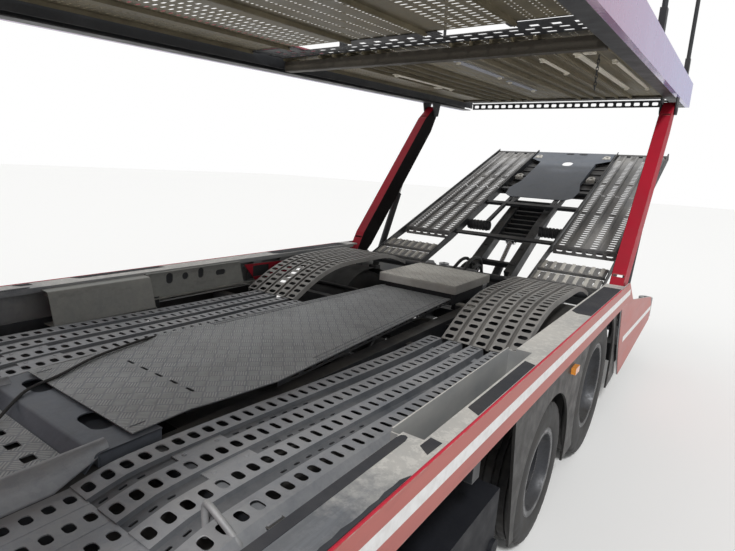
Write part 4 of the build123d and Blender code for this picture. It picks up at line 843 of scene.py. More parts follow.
# Hook on the near track, loose cable over the walkway, and what lies on the shelf of the side rail
hook = Sheet()
hook.pipe(softened([(0.848, -1.278, 0.85), (0.829, -1.268, 0.915), (0.832, -1.266, 0.936),
                    (0.86, -1.272, 0.938), (0.944, -1.262, 0.88), (0.956, -1.253, 0.85)], 2), 0.0095, 12)
settle(hook.make("track_hook", "zinc", smooth=50), "chassis", "galvanised", "lower_tracks")

flexible("loose_cable", [(-0.06, -1.42, 0.885), (-0.105, -1.374, 0.892), (-0.17, -1.29, 0.916),
                         (-0.202, -1.243, 0.92), (-0.218, -1.132, 0.928), (-0.309, -0.97, 0.928),
                         (-0.35, -0.8, 0.928), (-0.376, -0.652, 0.928), (-0.425, -0.56, 0.905),
                         (-0.44, -0.5, 0.87)], 0.006, "rubber")

shelf = Sheet()
for side in (1, -1):
    inner = sided(side, ((1.139, RAIL_FRONT), (1.169, RAIL_FRONT), (1.169, -0.87), (1.164, -0.85),
                         (1.154, -0.845), (1.144, -0.85), (1.139, -0.87)))
    ragged = [(1.252 + rng.uniform(-0.004, 0.003), RAIL_FRONT + 0.032 * k) for k in range(64)]
    outer = sided(side, [(1.266, RAIL_FRONT), *ragged, (1.264, -1.0)])
    patch = sided(side, ((1.212, -0.865), (1.214, -0.808), (1.252, -0.814), (1.249, -0.892)))
    rear = sided(side, ((1.214, -0.56), (1.262, -0.59), (1.262, -0.03), (1.215, -0.01)))
    last = sided(side, ((1.15, 1.0), (1.185, 0.96), (1.262, 0.96), (1.262, 1.9), (1.15, 1.9)))
    for ring in (inner, outer, patch, rear, last):
        shelf.plate(ring, (), 0.0022, moved(0, 0, SHELF_TOP))
settle(shelf.make("shelf_grip_strips", "grip"), "chassis", "tyre_rubber")

# A brighter red rod along the top outer edge of the band: a painted highlight where the band wraps over its
# top
edge = Sheet()
for side in (1, -1):
    edge.rod((side * 1.269, RAIL_FRONT, 1.0568), (side * 1.269, 1.88, 1.0568), 0.0058, 8)
settle(edge.make("band_top_edge", "edge_red_painted_highlight", smooth=60), "chassis", "red_paint")

webs = Sheet()
for side in (1, -1):
    webs.boxes([(1.128, 1.133, RAIL_FRONT, -0.11, 0.8, 0.892), (1.06, 1.133, RAIL_FRONT, -0.11, 0.8, 0.804),
                (0.475, 1.06, -1.4, -0.3, 0.796, 0.8)]
               + [(0.475, 1.06, y, y + 0.005, 0.775, 0.796) for y in (-1.4, -0.85, -0.305)], side=side)
# A black plate between the rails under the walkway: a dark sheet that stands in for the shade under the truck
webs.box((-0.335, 0.335), (-1.4, 0.0), (0.69, 0.694))
settle(webs.make("side_rail_webs_and_shade_plate", "black"), "chassis", "black_steel")

guards = Sheet()
for (y, z), radius, first in ((DRIVE, 0.494, 22), (PUSHER, 0.386, 35)):
    for side in (1, -1):
        angles = [radians(first + (180 - 2 * first) * k / 20) for k in range(21)]
        ring = [(y + radius * cos(a), z + radius * sin(a)) for a in angles]
        ring += [(y + (radius + 0.004) * cos(a), z + (radius + 0.004) * sin(a)) for a in reversed(angles)]
        guards.prism(ring, across(side, 0.6, 1.12), SIDEWAYS)
        for a in (angles[4], angles[16]):
            guards.bar(WORLD, (side * 0.47, side * 1.05), y + (radius + 0.016) * cos(a),
                       z + (radius + 0.016) * sin(a), 0.014, 12)
settle(guards.make("mudguards", "plastic", smooth=40), "chassis", "black_plastic")

# Cross beam at the front of the walkway, step box behind it and cover of the valve block
beam = Sheet()
beam_x = (-0.382, 0.382)
holes = [slot_ring(x, -1.203, 0.15, 0.08, 0.0399, 8) for x in (-0.233, 0.182)]
beam.plate(oblong(*beam_x, -1.29, -1.09), holes, 0.005, moved(0, 0, 0.908))
nose_line = softened(((-1.29, 0.908), (-1.306, 0.907), (-1.314, 0.898), (-1.345, 0.862)), 3)
beam.prism(nose_line + [(y + 0.004, z - 0.004) for y, z in reversed(nose_line)], beam_x, SIDEWAYS)
beam.boxes([(*beam_x, y - 0.002, y + 0.002, 0.862, 0.903) for y in (-1.3, -1.094)]
           + [(x, x + 0.004, -1.296, -1.096, 0.862, 0.906) for x in (-0.382, 0.378)]
           + [(-0.376, 0.376, -1.296, -1.096, 0.86, 0.863)])
settle(beam.make("cross_beam", "blue_grey", smooth=35), "chassis", "galvanised", "deck_covers")

box = Sheet()
lid = softened(((1.232, 0.952), (1.232, 1.008), (1.239, 1.015), (1.246, 1.015)), 2)
lid += softened(((1.848, 1.015), (1.855, 1.015), (1.858, 1.008), (1.858, 0.952)), 2)
box.prism(lid + [(y + (0.004 if y < 1.5 else -0.004), min(z, 1.011)) for y, z in reversed(lid)],
          (-0.318, 0.318), SIDEWAYS)
box.boxes([(x, x + 0.004, 1.236, 1.854, 0.952, 1.012) for x in (-0.32, 0.316)]
          + [(x, x + 0.12, 1.3, 1.36, 0.862, 0.872) for x in (-0.42, 0.3)])
box.boxes([(x, x + 0.004, 1.262, 1.83, 0.862, 1.01) for x in (-0.28, 0.276)]
          + [(-0.28, 0.28, y, y + 0.004, 0.862, 1.01) for y in (1.262, 1.826)], paint=1)
settle(box.make("step_box", "tread_pale", "black", bevel=0.0012), "chassis", "galvanised", "deck_covers")

cover = Sheet()
roof = softened(((-1.15, 1.046), (-1.078, 1.046), (-1.058, 1.04), (-1.01, 0.864)), 3)
roof += [(x - 0.003, z - 0.003) for x, z in reversed(roof)]
cover.prism(roof, (-0.8, -0.212), LENGTHWAYS)
for y in (-0.782, -0.215):
    cover.prism(((-1.15, 1.04), (-1.072, 1.04), (-1.03, 0.9), (-1.06, 0.9), (-1.1, 1.01), (-1.15, 1.01)),
                (y, y + 0.003), LENGTHWAYS)
cover.prism(oblong(-1.137, -1.012, 0.858, 0.862), (-0.8, -0.202), LENGTHWAYS)
settle(cover.make("valve_cover", "cover_zinc", smooth=40), "chassis", "galvanised", "deck_covers")

# Right side rail behind the valve cover: a channel with ovals in its web and a red bracket
rail = Sheet()
ovals = [slot_ring(y, z, w, h, min(w, h) / 2 - 0.0005, 6)
         for y, z, w, h in ((-0.03, 1.0, 0.05, 0.072), (0.09, 1.0, 0.048, 0.05), (0.215, 1.004, 0.044, 0.072),
                            (0.385, 0.988, 0.085, 0.04))]
rail.plate(((-0.205, 0.884), (0.6, 0.884), (0.56, 1.05), (-0.205, 1.05)), ovals, 0.004,
           moved(-1.132, 0, 0) @ SIDEWAYS)
rail.boxes(((-1.1365, -1.1362, -0.2, 0.56, 0.89, 1.046), (-1.1362, -1.128, 0.64, 1.11, 0.9, 1.0)), paint=1)
rail.boxes(((-1.1365, -1.104, -0.205, 1.02, 0.88, 0.885), (-1.1365, -1.116, -0.205, 0.56, 1.046, 1.051),
            (-1.1365, -1.098, -0.205, -0.2, 0.884, 1.05)))
rail.plate(((0.597, 1.018), (1.119, 1.0), (1.122, 0.91), (0.71, 0.886)),
           [slot_ring(0.77, 0.955, 0.17, 0.085, 0.004, 2)], 0.006, moved(-1.122, 0, 0) @ SIDEWAYS, paint=2)
settle(rail.make("rail_channel", "cover_zinc", "black", "arm_red", bevel=0.0008), "chassis", "galvanised")

# Ramp: slotted tracks between channel cheeks, rungs and end plates at its foot, bars between the tracks
for side, name in SIDES:
    ribs = Sheet()
    for start, end in ((0.752, 2.04), (2.052, 3.334)):
        ribbed_track(ribs, Path(((start, 0.0), (end, 0.0)), 0), 0.516, 0.543, 4, (0.056, 0.021, 0.01), 0.0445,
                     RAMP, rib=0.62, depth=0.02, steps=2, edge_drop=0.024, side=side)
    for y in (0.78, 1.62, 2.48, 3.304):
        ribs.box(across(side, 0.516, 1.059), (y - 0.028, y + 0.028), (-0.05, -0.0465), RAMP)
    settle(ribs.make(f"ramp_track_pressed_{name}", "zinc_ramp", thick=0.0035, offset=-side), "ramp",
           "galvanised", "ramp_frame")

    foot = Sheet()
    holes = [slot_ring(side * (0.5725 + 0.086 * k), -0.038, 0.058, 0.032, 0.015, 4) for k in range(6)]
    foot.plate(oblong(side * 0.516, side * 1.059, -0.08, 0.0), holes, 0.004,
               RAMP @ moved(0, 0.744, 0) @ spun(78, "X"))
    for y in (0.178, 0.368):
        for k in range(7):
            x = side * (0.5535 + 0.078 * k)
            foot.prism(((x - 0.017, -0.001), (x - 0.01, 0.008), (x + 0.01, 0.008), (x + 0.017, -0.001)),
                       (y - 0.064, y + 0.064), RAMP @ LENGTHWAYS, 1)
    for y in ((0.11, 0.245), (0.3, 0.435)):
        middle = (y[0] + y[1]) / 2
        holes = [slot_ring(side * (0.563 + 0.0748 * k), middle, 0.03, 0.062, 0.0145, 4) for k in range(7)]
        foot.plate(oblong(side * 0.514, side * 1.061, y[0] + 0.006, y[1] - 0.006), holes, 0.004, RAMP)
        for edge, turn in ((y[0], 1), (y[1], -1)):
            fold = softened(((edge + turn * 0.006, 0.0), (edge, 0.0), (edge, -0.006), (edge, -0.03)), 2)
            back = [(a + turn * 0.004, min(b, -0.004)) for a, b in reversed(fold)]
            foot.prism(fold + back, across(side, 0.514, 1.061), RAMP @ SIDEWAYS)
        for k in range(8):
            x = side * (0.5256 + 0.0748 * k)
            foot.box((x - 0.005, x + 0.005), (y[0] + 0.004, y[1] - 0.004), (-0.0005, 0.0035), RAMP)
    settle(foot.make(f"ramp_foot_{name}", "zinc_ramp", "zinc_pale", smooth=35), "ramp", "galvanised",
           "ramp_frame")

cheeks = Sheet()
cheek = ((-0.04, -0.036), (0.7, -0.07), (3.454, -0.07), (3.454, 0.01), (0.04, 0.01), (-0.04, 0.036))
for side in (1, -1):
    for inner, outer, lip in ((0.5, 0.506, 0.512), (1.069, 1.075, 1.063)):
        cheeks.prism(cheek, across(side, inner, outer), RAMP @ SIDEWAYS)
        flat = sorted((side * min(inner, lip), side * max(outer, lip)))
        for z in ((0.006, 0.01), (-0.07, -0.064)):
            cheeks.box(flat, (0.72, 3.45), z, RAMP)
for side in (1, -1):
    ends = across(side, 0.264, 0.5)
    cheeks.bar(RAMP, ends, 1.12, -0.075, 0.048)
    for k in range(6):
        at = ends[0] + 0.03 + 0.035 * k
        cheeks.bar(RAMP, (at - 0.008, at + 0.008), 1.12, -0.075, 0.054)
    cheeks.boxes([(0.264, 0.3, 1.1, 2.06, -0.04, -0.008), (0.2, 0.24, 1.62, 2.06, -0.038, -0.008),
                  (0.25, 0.498, 2.0, 3.44, -0.066, -0.062)]
                 + [(0.3, 0.495, 2.08 + 0.17 * k, 2.11 + 0.17 * k, -0.062, -0.048) for k in range(8)],
                 RAMP, 0, side)
cheeks.boxes([(-0.5, 0.5, y - 0.028, y + 0.028, low, -0.007)
              for y, low in ((0.8, -0.026), (1.62, -0.04), (2.06, -0.04), (3.304, -0.04))]
             + [(-1.075, 1.075, 3.394, 3.454, -0.07, -0.02)], RAMP)
cheeks.bar(RAMP, (-1.085, 1.085), 0, 0, 0.035)
settle(cheeks.make("ramp_cheeks", "black", bevel=0.0015), "ramp", "black_steel", "ramp_frame")

# Centre plate of the ramp with its holes, and pale lashing lugs beside it
plate = Sheet()
half = ((0.3, 1.79), (0.375, 1.86), (0.4, 2.05), (0.34, 2.3), (0.34, 3.0), (0.486, 3.12), (0.486, 3.4))
outline = list(half) + [(-x, y) for x, y in reversed(half)]
holes = [slot_ring(x, 3.345, 0.105, 0.055, 0.027, 6) for x in (-0.056, 0.109)]
holes.append(slot_ring(0.014, 2.96, 0.12, 0.15, 0.055, 8))
plate.plate(outline, holes, 0.006, RAMP)
for x in (-0.34, 0.337):
    plate.box((x, x + 0.003), (2.3, 3.0), (-0.04, -0.001), RAMP)
settle(plate.make("ramp_centre_plate", "blue_grey", bevel=0.0012), "ramp", "plate_blue_grey", "ramp_plate")

lugs = Sheet()
for x, y in ((-0.42, 2.455), (0.42, 2.465), (0.42, 3.225), (-0.42, 3.195)):
    outer = slot_ring(x, y, 0.08, 0.11, 0.035, 5)
    lugs.plate(outer, [slot_ring(x, y + 0.015, 0.034, 0.04, 0.016, 5)], 0.012, RAMP @ moved(0, 0, 0.008))
    lugs.box((x - 0.045, x + 0.045), (y - 0.05, y - 0.02), (-0.03, 0.006), RAMP)
    for reach in (-0.022, 0.022):
        lugs.turned(RAMP @ Vector((x + reach, y - 0.035, 0.008)), upright_of(RAMP),
                    ((0, 0.01), (0.007, 0.009), (0.009, 0.0)), 6)
    reach = 0.486 if x > 0 else -0.486
    lugs.box(sorted((x, reach)), (y - 0.03, y + 0.01), (-0.036, -0.012), RAMP, paint=1)
settle(lugs.make("ramp_lugs", "zinc_pale", "black", bevel=0.0015), "ramp", "galvanised")

# Upper deck: perforated planks, slotted cross strips, frame with channel sides and the brackets of the arms


def plank(sheet, x, rows, hole, y, pitch, place, top):
    """Plank between two values of x with its edges folded down and rows of slots at the given x."""
    count = round((y[1] - y[0]) / pitch)
    step = (y[1] - y[0]) / count
    half = hole[0] / 2 + 0.006

    def put(across, along, rise):
        return place @ Vector((across, along, top + rise))

    edges = [x[0]] + [row + reach for row in rows for reach in (-half, half)] + [x[1]]
    for k in range(count):
        s = (y[0] + k * step, y[0] + (k + 1) * step)
        for row in rows:
            holed_cell(sheet, put, (row - half, row + half), s, hole, 2)
    for left, right in zip(edges[::2], edges[1::2]):
        sheet.face(put(left, y[0], 0), put(right, y[0], 0), put(right, y[1], 0), put(left, y[1], 0))
    for edge in x:
        sheet.face(put(edge, y[0], 0), put(edge, y[1], 0), put(edge, y[1], -0.024), put(edge, y[0], -0.024))


SMALL, LARGE, DOUBLE = (0.022, 0.019, 0.009), (0.046, 0.02, 0.0096), (0.014, 0.017, 0.0066)
for name, spans in (("front", (DECK_ENDS[0], -2.79)), ("rear", (-2.49, 0.74))):
    planks = Sheet()
    plank(planks, (-0.256, 0.256), [-0.19, -0.095, 0.0, 0.095, 0.19], SMALL, spans, 0.03, DECK, PLANK_TOP)
    for side in (1, -1):
        if name == "front":
            rows = [side * (0.432 + 0.071 * k) for k in range(5)]
            plank(planks, across(side, 0.266, 0.764), sorted(rows), LARGE, spans, 0.045, DECK, PLANK_TOP)
        else:
            for k in range(4):
                inner, outer = 0.266 + 0.1253 * k, 0.266 + 0.1253 * (k + 1) - 0.008
                rows = [side * (inner + outer) / 2]
                plank(planks, across(side, inner, outer), rows, SMALL, spans, 0.045, DECK, PLANK_TOP)
        rows = [side * (0.84 + 0.095 * k + reach) for k in range(3) for reach in (0.0, 0.028)]
        plank(planks, across(side, 0.774, 1.112), sorted(rows), DOUBLE, spans, 0.04, DECK, 0.198)
    settle(planks.make(f"deck_planks_{name}", "brown", thick=0.003, offset=0), "upper_deck", "galvanised",
           "deck_planks")

strips = Sheet()
upright = DECK @ moved(0, 0.924, 0) @ spun(90, "X")
holes = [slot_ring(-1.05 + 0.0875 * k, 0.138, 0.056, 0.032, 0.009, 2) for k in range(25)]
strips.plate(oblong(*DECK_SPAN, 0.104, 0.17), holes, 0.004, upright)
strips.box(DECK_SPAN, (0.87, 0.92), (0.166, 0.17), DECK)
for low, high, top in ((-2.67, -2.5, 0.196), (0.805, 0.955, 0.196)):
    holes = [slot_ring(-1.05 + 0.0875 * k, y, 0.054, 0.034, 0.008, 2) for k in range(25)
             for y in (low + 0.04, high - 0.044)]
    strips.plate(oblong(*DECK_SPAN, low, high), holes, 0.004, DECK @ moved(0, 0, top - 0.004))
    for y in (low, high - 0.004):
        strips.box(DECK_SPAN, (y, y + 0.004), (top - 0.008, top - 0.002), DECK)
for side in (1, -1):
    rows = [(0.48, 1.108, 0.74, 0.775), (0.0, 0.2, 0.74, 0.806)]
    for low, high in ((0.0, 0.335), (0.72, 1.108)):
        rows.append((low, high, -2.805, -2.735))
        rows += [(low + 0.03 + 0.11 * k, low + 0.09 + 0.11 * k, -2.736, -2.668)
                 for k in range(int((high - low) / 0.11))]
    strips.boxes([(*row, 0.186, 0.19) for row in rows], DECK, 0, side)
settle(strips.make("deck_slotted_strips", "black", bevel=0.0008), "upper_deck", "black_steel")

under = Sheet()
for x, y, wide, paint in ((0.098, (-2.08, -1.215), 0.05, 1), (0.08, (-1.03, -0.31), 0.05, 1),
                          (0.632, (-1.94, -1.27), 0.03, 0), (0.876, (-2.04, -0.24), 0.045, 0),
                          (1.033, (-1.74, -0.19), 0.03, 0), (-0.64, (-1.7, -0.6), 0.04, 0)):
    ring = slot_ring(x, (y[0] + y[1]) / 2, wide, y[1] - y[0], wide * 0.45, 4)
    under.plate(ring, (), 0.006, DECK @ moved(0, 0, 0.166), paint)
    for at in (y[0] + 0.05, y[1] - 0.05):
        under.turned(DECK @ Vector((x, at, 0.16)), upright_of(DECK, -1),
                     ((0.0, 0.018), (0.012, 0.017), (0.016, 0.0)), 12, 0)
for x, y in ((-0.68, -0.84), (0.96, -2.06)):
    under.plate(slot_ring(x, y, 0.07, 0.07, 0.012, 3), [slot_ring(x, y, 0.024, 0.024, 0.011, 4)], 0.01,
                DECK @ moved(0, 0, 0.162), 0)
settle(under.make("deck_fittings", "bar_pale", "bar_blue", bevel=0.0008), "upper_deck", "galvanised")

CHAIN_END = DECK @ Vector((0.985, -1.93, 0.15))
chain = Sheet()
for k in range(9):
    middle = CHAIN_END - Vector((0.0, 0.0, 0.022 * k))
    ring = []
    for j in range(17):
        a = 2 * pi * j / 16
        flat = (0.007 * cos(a), 0.015 * sin(a))
        ring.append(middle + (Vector((flat[0], 0, flat[1])) if k % 2 else Vector((0, flat[0], flat[1]))))
    chain.pipe(ring, 0.0026, 6)
settle(chain.make("deck_chain", "black", smooth=60), "upper_deck", "black_steel")

ARM_SPACING = 5.05
deck_steel = Sheet()
for side in (1, -1):
    channel = ((1.24, 0.1), (1.24, 0.22), (1.125, 0.22), (1.125, 0.212), (1.232, 0.212), (1.232, 0.108),
               (1.15, 0.108), (1.15, 0.1))
    deck_steel.prism(sided(side, channel), DECK_ENDS, DECK @ LENGTHWAYS)
    deck_steel.box(across(side, 1.128, 1.136), DECK_ENDS, (0.12, 0.212), DECK)
    for frame_place, arm_x, outline in (
            (DECK, 1.195, ((-0.09, 0.1), (-0.045, -0.042), (0.045, -0.042), (0.09, 0.1))),
            (DECK @ moved(0, -ARM_SPACING, 0), 1.055,
             ((-0.06, 0.104), (-0.05, -0.045), (0.05, -0.045), (0.06, 0.104)))):
        for low in (arm_x - 0.066, arm_x + 0.054):
            ends = across(side, low, (low + 0.012))
            deck_steel.prism(outline, ends, frame_place @ SIDEWAYS)
            deck_steel.bar(frame_place, (ends[0] - 0.004, ends[1] + 0.004), 0, 0, 0.046)
        deck_steel.bar(frame_place, across(side, arm_x - 0.072, arm_x + 0.072), 0, 0, 0.028, 20)
for y, low, high in ((-6.13, 0.104, 0.168), (-5.05, 0.104, 0.168), (-2.42, 0.104, 0.172), (0.7, 0.176, 0.19)):
    deck_steel.prism(((y - 0.04, low + 0.006), (y - 0.034, low), (y + 0.034, low), (y + 0.04, low + 0.006),
                      (y + 0.04, high), (y - 0.04, high)), (-1.128, 1.128), DECK @ SIDEWAYS, 1)
settle(deck_steel.make("deck_steelwork", "black", "beam_brown", bevel=0.0015), "upper_deck", "black_steel",
       "deck_frame")

# Deck over the cab: slotted planks on box beams with guards outside
for side, name in SIDES:
    planks = Sheet()
    ribbed_track(planks, Path(((-5.345, 2.77), (-3.06, 2.77)), 0), 0.45, 0.548, 4, (0.04, 0.018, 0.0088),
                 0.055, rib=0.64, depth=0.018, steps=2, edge_drop=0.024, side=side)
    settle(planks.make(f"head_deck_pressed_{name}", "zinc_track_painted_sky_tint", thick=0.003, offset=-side), "head_deck",
           "galvanised", "head_deck")
beams = Sheet()
for side in (1, -1):
    profile = ((-5.35, 2.672), (-5.35, 2.758), (-3.05, 2.758), (-3.05, 2.672))
    bore = circle(0.0285, 24, -3.32, 2.7)
    for low in (1.156, 1.216):
        beams.plate(profile, [bore], 0.008, moved(low if side > 0 else -low - 0.008, 0, 0) @ SIDEWAYS)
    x = across(side, 1.156, 1.224)
    beams.box(x, HEAD_ENDS, (2.665, 2.673))
    beams.box(x, HEAD_ENDS, (2.757, 2.765))
    x = across(side, 1.2245, 1.25)
    beams.prism(sided(side, ((1.2245, 2.64), (1.238, 2.64), (1.25, 2.652), (1.25, 2.778), (1.238, 2.79),
                             (1.2245, 2.79), (1.2245, 2.78), (1.234, 2.78), (1.24, 2.774), (1.24, 2.656),
                             (1.234, 2.65), (1.2245, 2.65))), (-5.35, -3.42), LENGTHWAYS, 1)
for y in (-5.32, -4.56, -3.8, -3.09):
    beams.prism(((y - 0.03, 2.69), (y + 0.03, 2.69), (y + 0.03, 2.696), (y - 0.022, 2.696),
                 (y - 0.022, 2.736), (y + 0.03, 2.736), (y + 0.03, 2.742), (y - 0.03, 2.742)),
                (-1.156, 1.156), SIDEWAYS)
settle(beams.make("head_deck_beams", "black", "panel_red_painted_sky_sheen", bevel=0.0015), "head_deck", "black_steel",
       "head_deck")

# Lifting boom of the ramp: two box beams with ribs between them
lift = Sheet()
sides = ((-0.045, -0.038), (0.3, -0.06), (1.15, -0.055), (1.676, -0.026), (1.676, 0.026), (1.15, 0.05),
         (0.3, 0.055), (-0.045, 0.038))
inner = ((0.31, -0.054), (1.15, -0.05), (1.6, -0.024), (1.6, 0.024), (1.15, 0.046), (0.31, 0.05))
for side in (1, -1):
    lift.prism(sides, across(side, 0.207, 0.235), BOOM @ SIDEWAYS)
    lift.prism(inner, across(side, 0.145, 0.207), BOOM @ SIDEWAYS)
    for k in range(5):
        y = 0.42 + 0.27 * k
        lift.box(across(side, 0.15, 0.205), (y, y + 0.05), (0.04 - 0.014 * k / 4, 0.058 - 0.02 * k / 4), BOOM)
    for y in (0.0, 1.646):
        lift.bar(BOOM, across(side, 0.222, 0.235 if y == 0.0 else 0.25), y, 0, 0.03)
lift.boxes([(-0.15, 0.15, 0.988 + 0.09 * k, 1.012 + 0.09 * k, -0.034, 0.018) for k in range(7)]
           + [(-0.15, 0.15, 0.97, 1.59, -0.04, -0.034), (-0.15, 0.15, 0.465, 0.495, -0.03, 0.025)], BOOM)
for y, x, radius in ((0.0, 0.222, 0.03), (0.9, 0.15, 0.016), (1.646, 0.222, 0.03)):
    lift.bar(BOOM, (-x, x), y, 0, radius)
settle(lift.make("lift_boom_welded", "black", bevel=0.002, smooth=30), "boom", "black_steel", "lift_boom")

# Hoses from the step box to the boom's foot, their clamp, and the floor plates beside the boom
for k, (x, height, reach, length) in enumerate(((-0.06, 1.075, 2.33, 0.94), (-0.02, 1.045, 2.36, 0.93),
                                                (0.022, 1.09, 2.39, 1.01), (0.068, 1.03, 2.3, 0.86))):
    flexible(f"ramp_hose_{k + 1}", [(x * 1.6, 1.85, 0.905), (x * 1.3, 2.0, 0.945 + (height - 1.03) * 0.5),
                                    (x, 2.15, height - 0.01), (x, reach, height - 0.04),
                                    (x * 0.8, reach + 0.05, 0.82), (x * 0.6, 2.44, 0.6)], 0.0145,
             "plastic")

foot_plates = Sheet()
for side in (1, -1):
    holes = [slot_ring(side * (0.3 + 0.06 * k), 2.5 + 0.12 * j, 0.026, 0.06, 0.012, 3) for k in range(3)
             for j in range(4)]
    foot_plates.plate(oblong(side * 0.262, side * 0.462, 2.43, 3.02), holes, 0.005, moved(0, 0, 0.815))
    foot_plates.boxes(((0.452, 0.462, 2.43, 3.02, 0.76, 0.815),
                       (0.262, 0.27, 2.43, 3.02, 0.775, 0.815)), side=side)
foot_plates.boxes(((-0.11, 0.11, 1.872, 1.884, 0.865, 0.985), (-0.13, 0.13, 2.03, 2.042, 0.96, 0.998)))
settle(foot_plates.make("boom_foot_plates", "zinc", bevel=0.001), "chassis", "galvanised")

# Cab trim: seal and wipers of the windscreen, grille mesh, door seals, handles and mirror glasses
trim = Sheet()
half, low, high = 1.06, 0.07, 0.79
seal = slot_ring(0, (low + high) / 2, 2 * half + 0.02, high - low + 0.02, 0.05, 5)
pane = slot_ring(0, (low + high) / 2, 2 * half - 0.05, high - low - 0.05, 0.04, 5)
trim.plate(seal, [pane], 0.006, SCREEN @ moved(0, 0, -0.0005))
for x, reach in ((-0.62, 0.52), (0.02, 0.52), (0.64, 0.4)):
    pivot = SCREEN @ Vector((x, 0.02, 0.01))
    tip = SCREEN @ Vector((x + reach, 0.36, 0.012))
    trim.rod(pivot, tip, 0.006, 8)
    trim.turned(pivot, upright_of(SCREEN), ((-0.01, 0.02), (0.006, 0.018), (0.01, 0.0)), 16)
    trim.rod(SCREEN @ Vector((x + reach - 0.29, 0.18, 0.008)),
             SCREEN @ Vector((x + reach + 0.2, 0.48, 0.008)), 0.005, 6)
settle(trim.make("windscreen_seal_and_wipers", "plastic"), "chassis", "black_plastic")

mesh = Sheet()
for k in range(5):
    mesh.box((-0.7, 0.7), (-5.3795, -5.3765), (1.133 + 0.068 * k, 1.139 + 0.068 * k))
for k in range(45):
    x = -0.682 + 0.031 * k
    mesh.box((x - 0.0035, x + 0.0035), (-5.379, -5.3758), (1.128, 1.452))
settle(mesh.make("grille_mesh", "zinc_dark"), "chassis", "black_plastic")

for side, name in SIDES:
    fit = Sheet()
    window = [(-5.075, 1.6), (-4.93, 2.355), (-4.245, 2.355), (-4.245, 1.6)]
    centre = Vector((sum(y for y, z in window) / 4, sum(z for y, z in window) / 4))
    outer = [centre + (Vector(p) - centre) * 1.035 for p in window]
    pane = [centre + (Vector(p) - centre) * 0.955 for p in window]
    x = side * 1.2175
    fit.plate(outer, [pane], 0.004, moved(x if side > 0 else x - 0.004, 0, 0) @ SIDEWAYS)
    fit.plate(slot_ring(-4.27, 1.414, 0.2, 0.07, 0.03, 4), (), 0.003,
              moved(x if side > 0 else x - 0.003, 0, 0) @ SIDEWAYS)
    fit.rod((side * 1.232, -4.345, 1.414), (side * 1.232, -4.195, 1.414), 0.007, 12)
    settle(fit.make(f"door_trim_{name}", "plastic"), f"door_{name}", "black_plastic")
    glass = Sheet()
    for low, high in ((1.52, 1.8), (1.825, 2.04)):
        ring = slot_ring(side * 1.3775, (low + high) / 2, 0.13, high - low, 0.02, 4)
        glass.plate(ring, (), 0.002, moved(0, -5.068, 0) @ spun(90, "X"))
    settle(glass.make(f"mirror_glass_{name}", "chrome"), f"door_{name}", "rod_chrome")

# Tyres with a grooved tread and rims with hand holes, hubs and nuts


def extent(node):
    corners = [node.matrix_world @ Vector(c) for c in node.bound_box]
    return [(min(c[k] for c in corners), max(c[k] for c in corners)) for k in range(3)]


def hoop(sheet, rings, closed):
    """Skin all round an axle over outlines, each of them closed or open."""
    for a, b in zip(rings, rings[1:] + rings[:1]):
        for j in range(len(a) if closed else len(a) - 1):
            n = (j + 1) % len(a)
            sheet.face(a[j], b[j], b[n], a[n])


def tyre(sheet, middle, width, radius, seat, place):
    """Tyre about the X axis of place, with crosswise grooves in the shoulders and rings round the walls."""
    wall = radius - seat
    half = [(0.4, seat - 0.004), (0.44, seat + 0.01), (0.47, seat + 0.022), (0.486, seat + 0.03),
            (0.494, seat + 0.36 * wall), (0.5, seat + 0.42 * wall), (0.5, seat + 0.55 * wall),
            (0.494, seat + 0.6 * wall), (0.488, radius - 0.048), (0.472, radius - 0.026),
            (0.452, radius - 0.012), (0.425, radius - 0.005), (0.3, radius - 0.001), (0.292, radius - 0.013),
            (0.262, radius - 0.013), (0.254, radius), (0.1, radius), (0.092, radius - 0.013),
            (0.062, radius - 0.013), (0.054, radius)]
    outline = [(t, r, -1) for t, r in half] + [(t, r, 1) for t, r in reversed(half)]
    rings = []
    for k, (c, s) in enumerate(circle(1, TREAD_STEPS)):
        ring = []
        for t, r, turn in outline:
            if k % 4 == 0 and radius - 0.03 < r < radius - 0.0005 and t > 0.31:
                r -= 0.008
            if k % 4 == 2 and t < 0.27 and r > radius - 0.001:
                r -= 0.0045
            ring.append(place @ Vector((middle + turn * t * width, r * c, r * s)))
        rings.append(ring)
    hoop(sheet, rings, False)


def wheel_disc(sheet, x, facing, radius, bore, bolts, bolt_ring, place):
    """Wheel disc with as many hand holes as nuts; facing is the side of the nuts along X."""
    turn = place @ moved(x, 0, 0) @ spun(90 * facing, "Y")
    holes = []
    middle = (bolt_ring + 0.022 + radius) / 2
    for k in range(bolts):
        a = 2 * pi * k / bolts
        ring = slot_ring(0, 0, min(0.044, radius - bolt_ring - 0.04), 0.062, 0.017, 3)
        holes.append([(middle * cos(a) + p * cos(a) - q * sin(a), middle * sin(a) + p * sin(a) + q * cos(a))
                      for p, q in ring])
    sheet.plate(circle(radius, 64), holes, 0.01, turn)
    axis = upright_of(turn)
    for k in range(bolts):
        a = 2 * pi * (k + 0.5) / bolts
        spot = turn @ Vector((bolt_ring * cos(a), bolt_ring * sin(a), 0))
        sheet.turned(spot, axis, ((0.0, 0.021), (0.004, 0.021), (0.0041, 0.0165), (0.026, 0.016),
                                  (0.03, 0.0)), 6, 1)
    sheet.turned(turn @ Vector((0, 0, 0)), axis,
                 ((0.0, bore + 0.014), (0.01, bore + 0.012), (0.014, bore), (0.07, bore - 0.004),
                  (0.084, bore * 0.86), (0.088, bore * 0.45), (0.089, 0.0)), 40, 2)


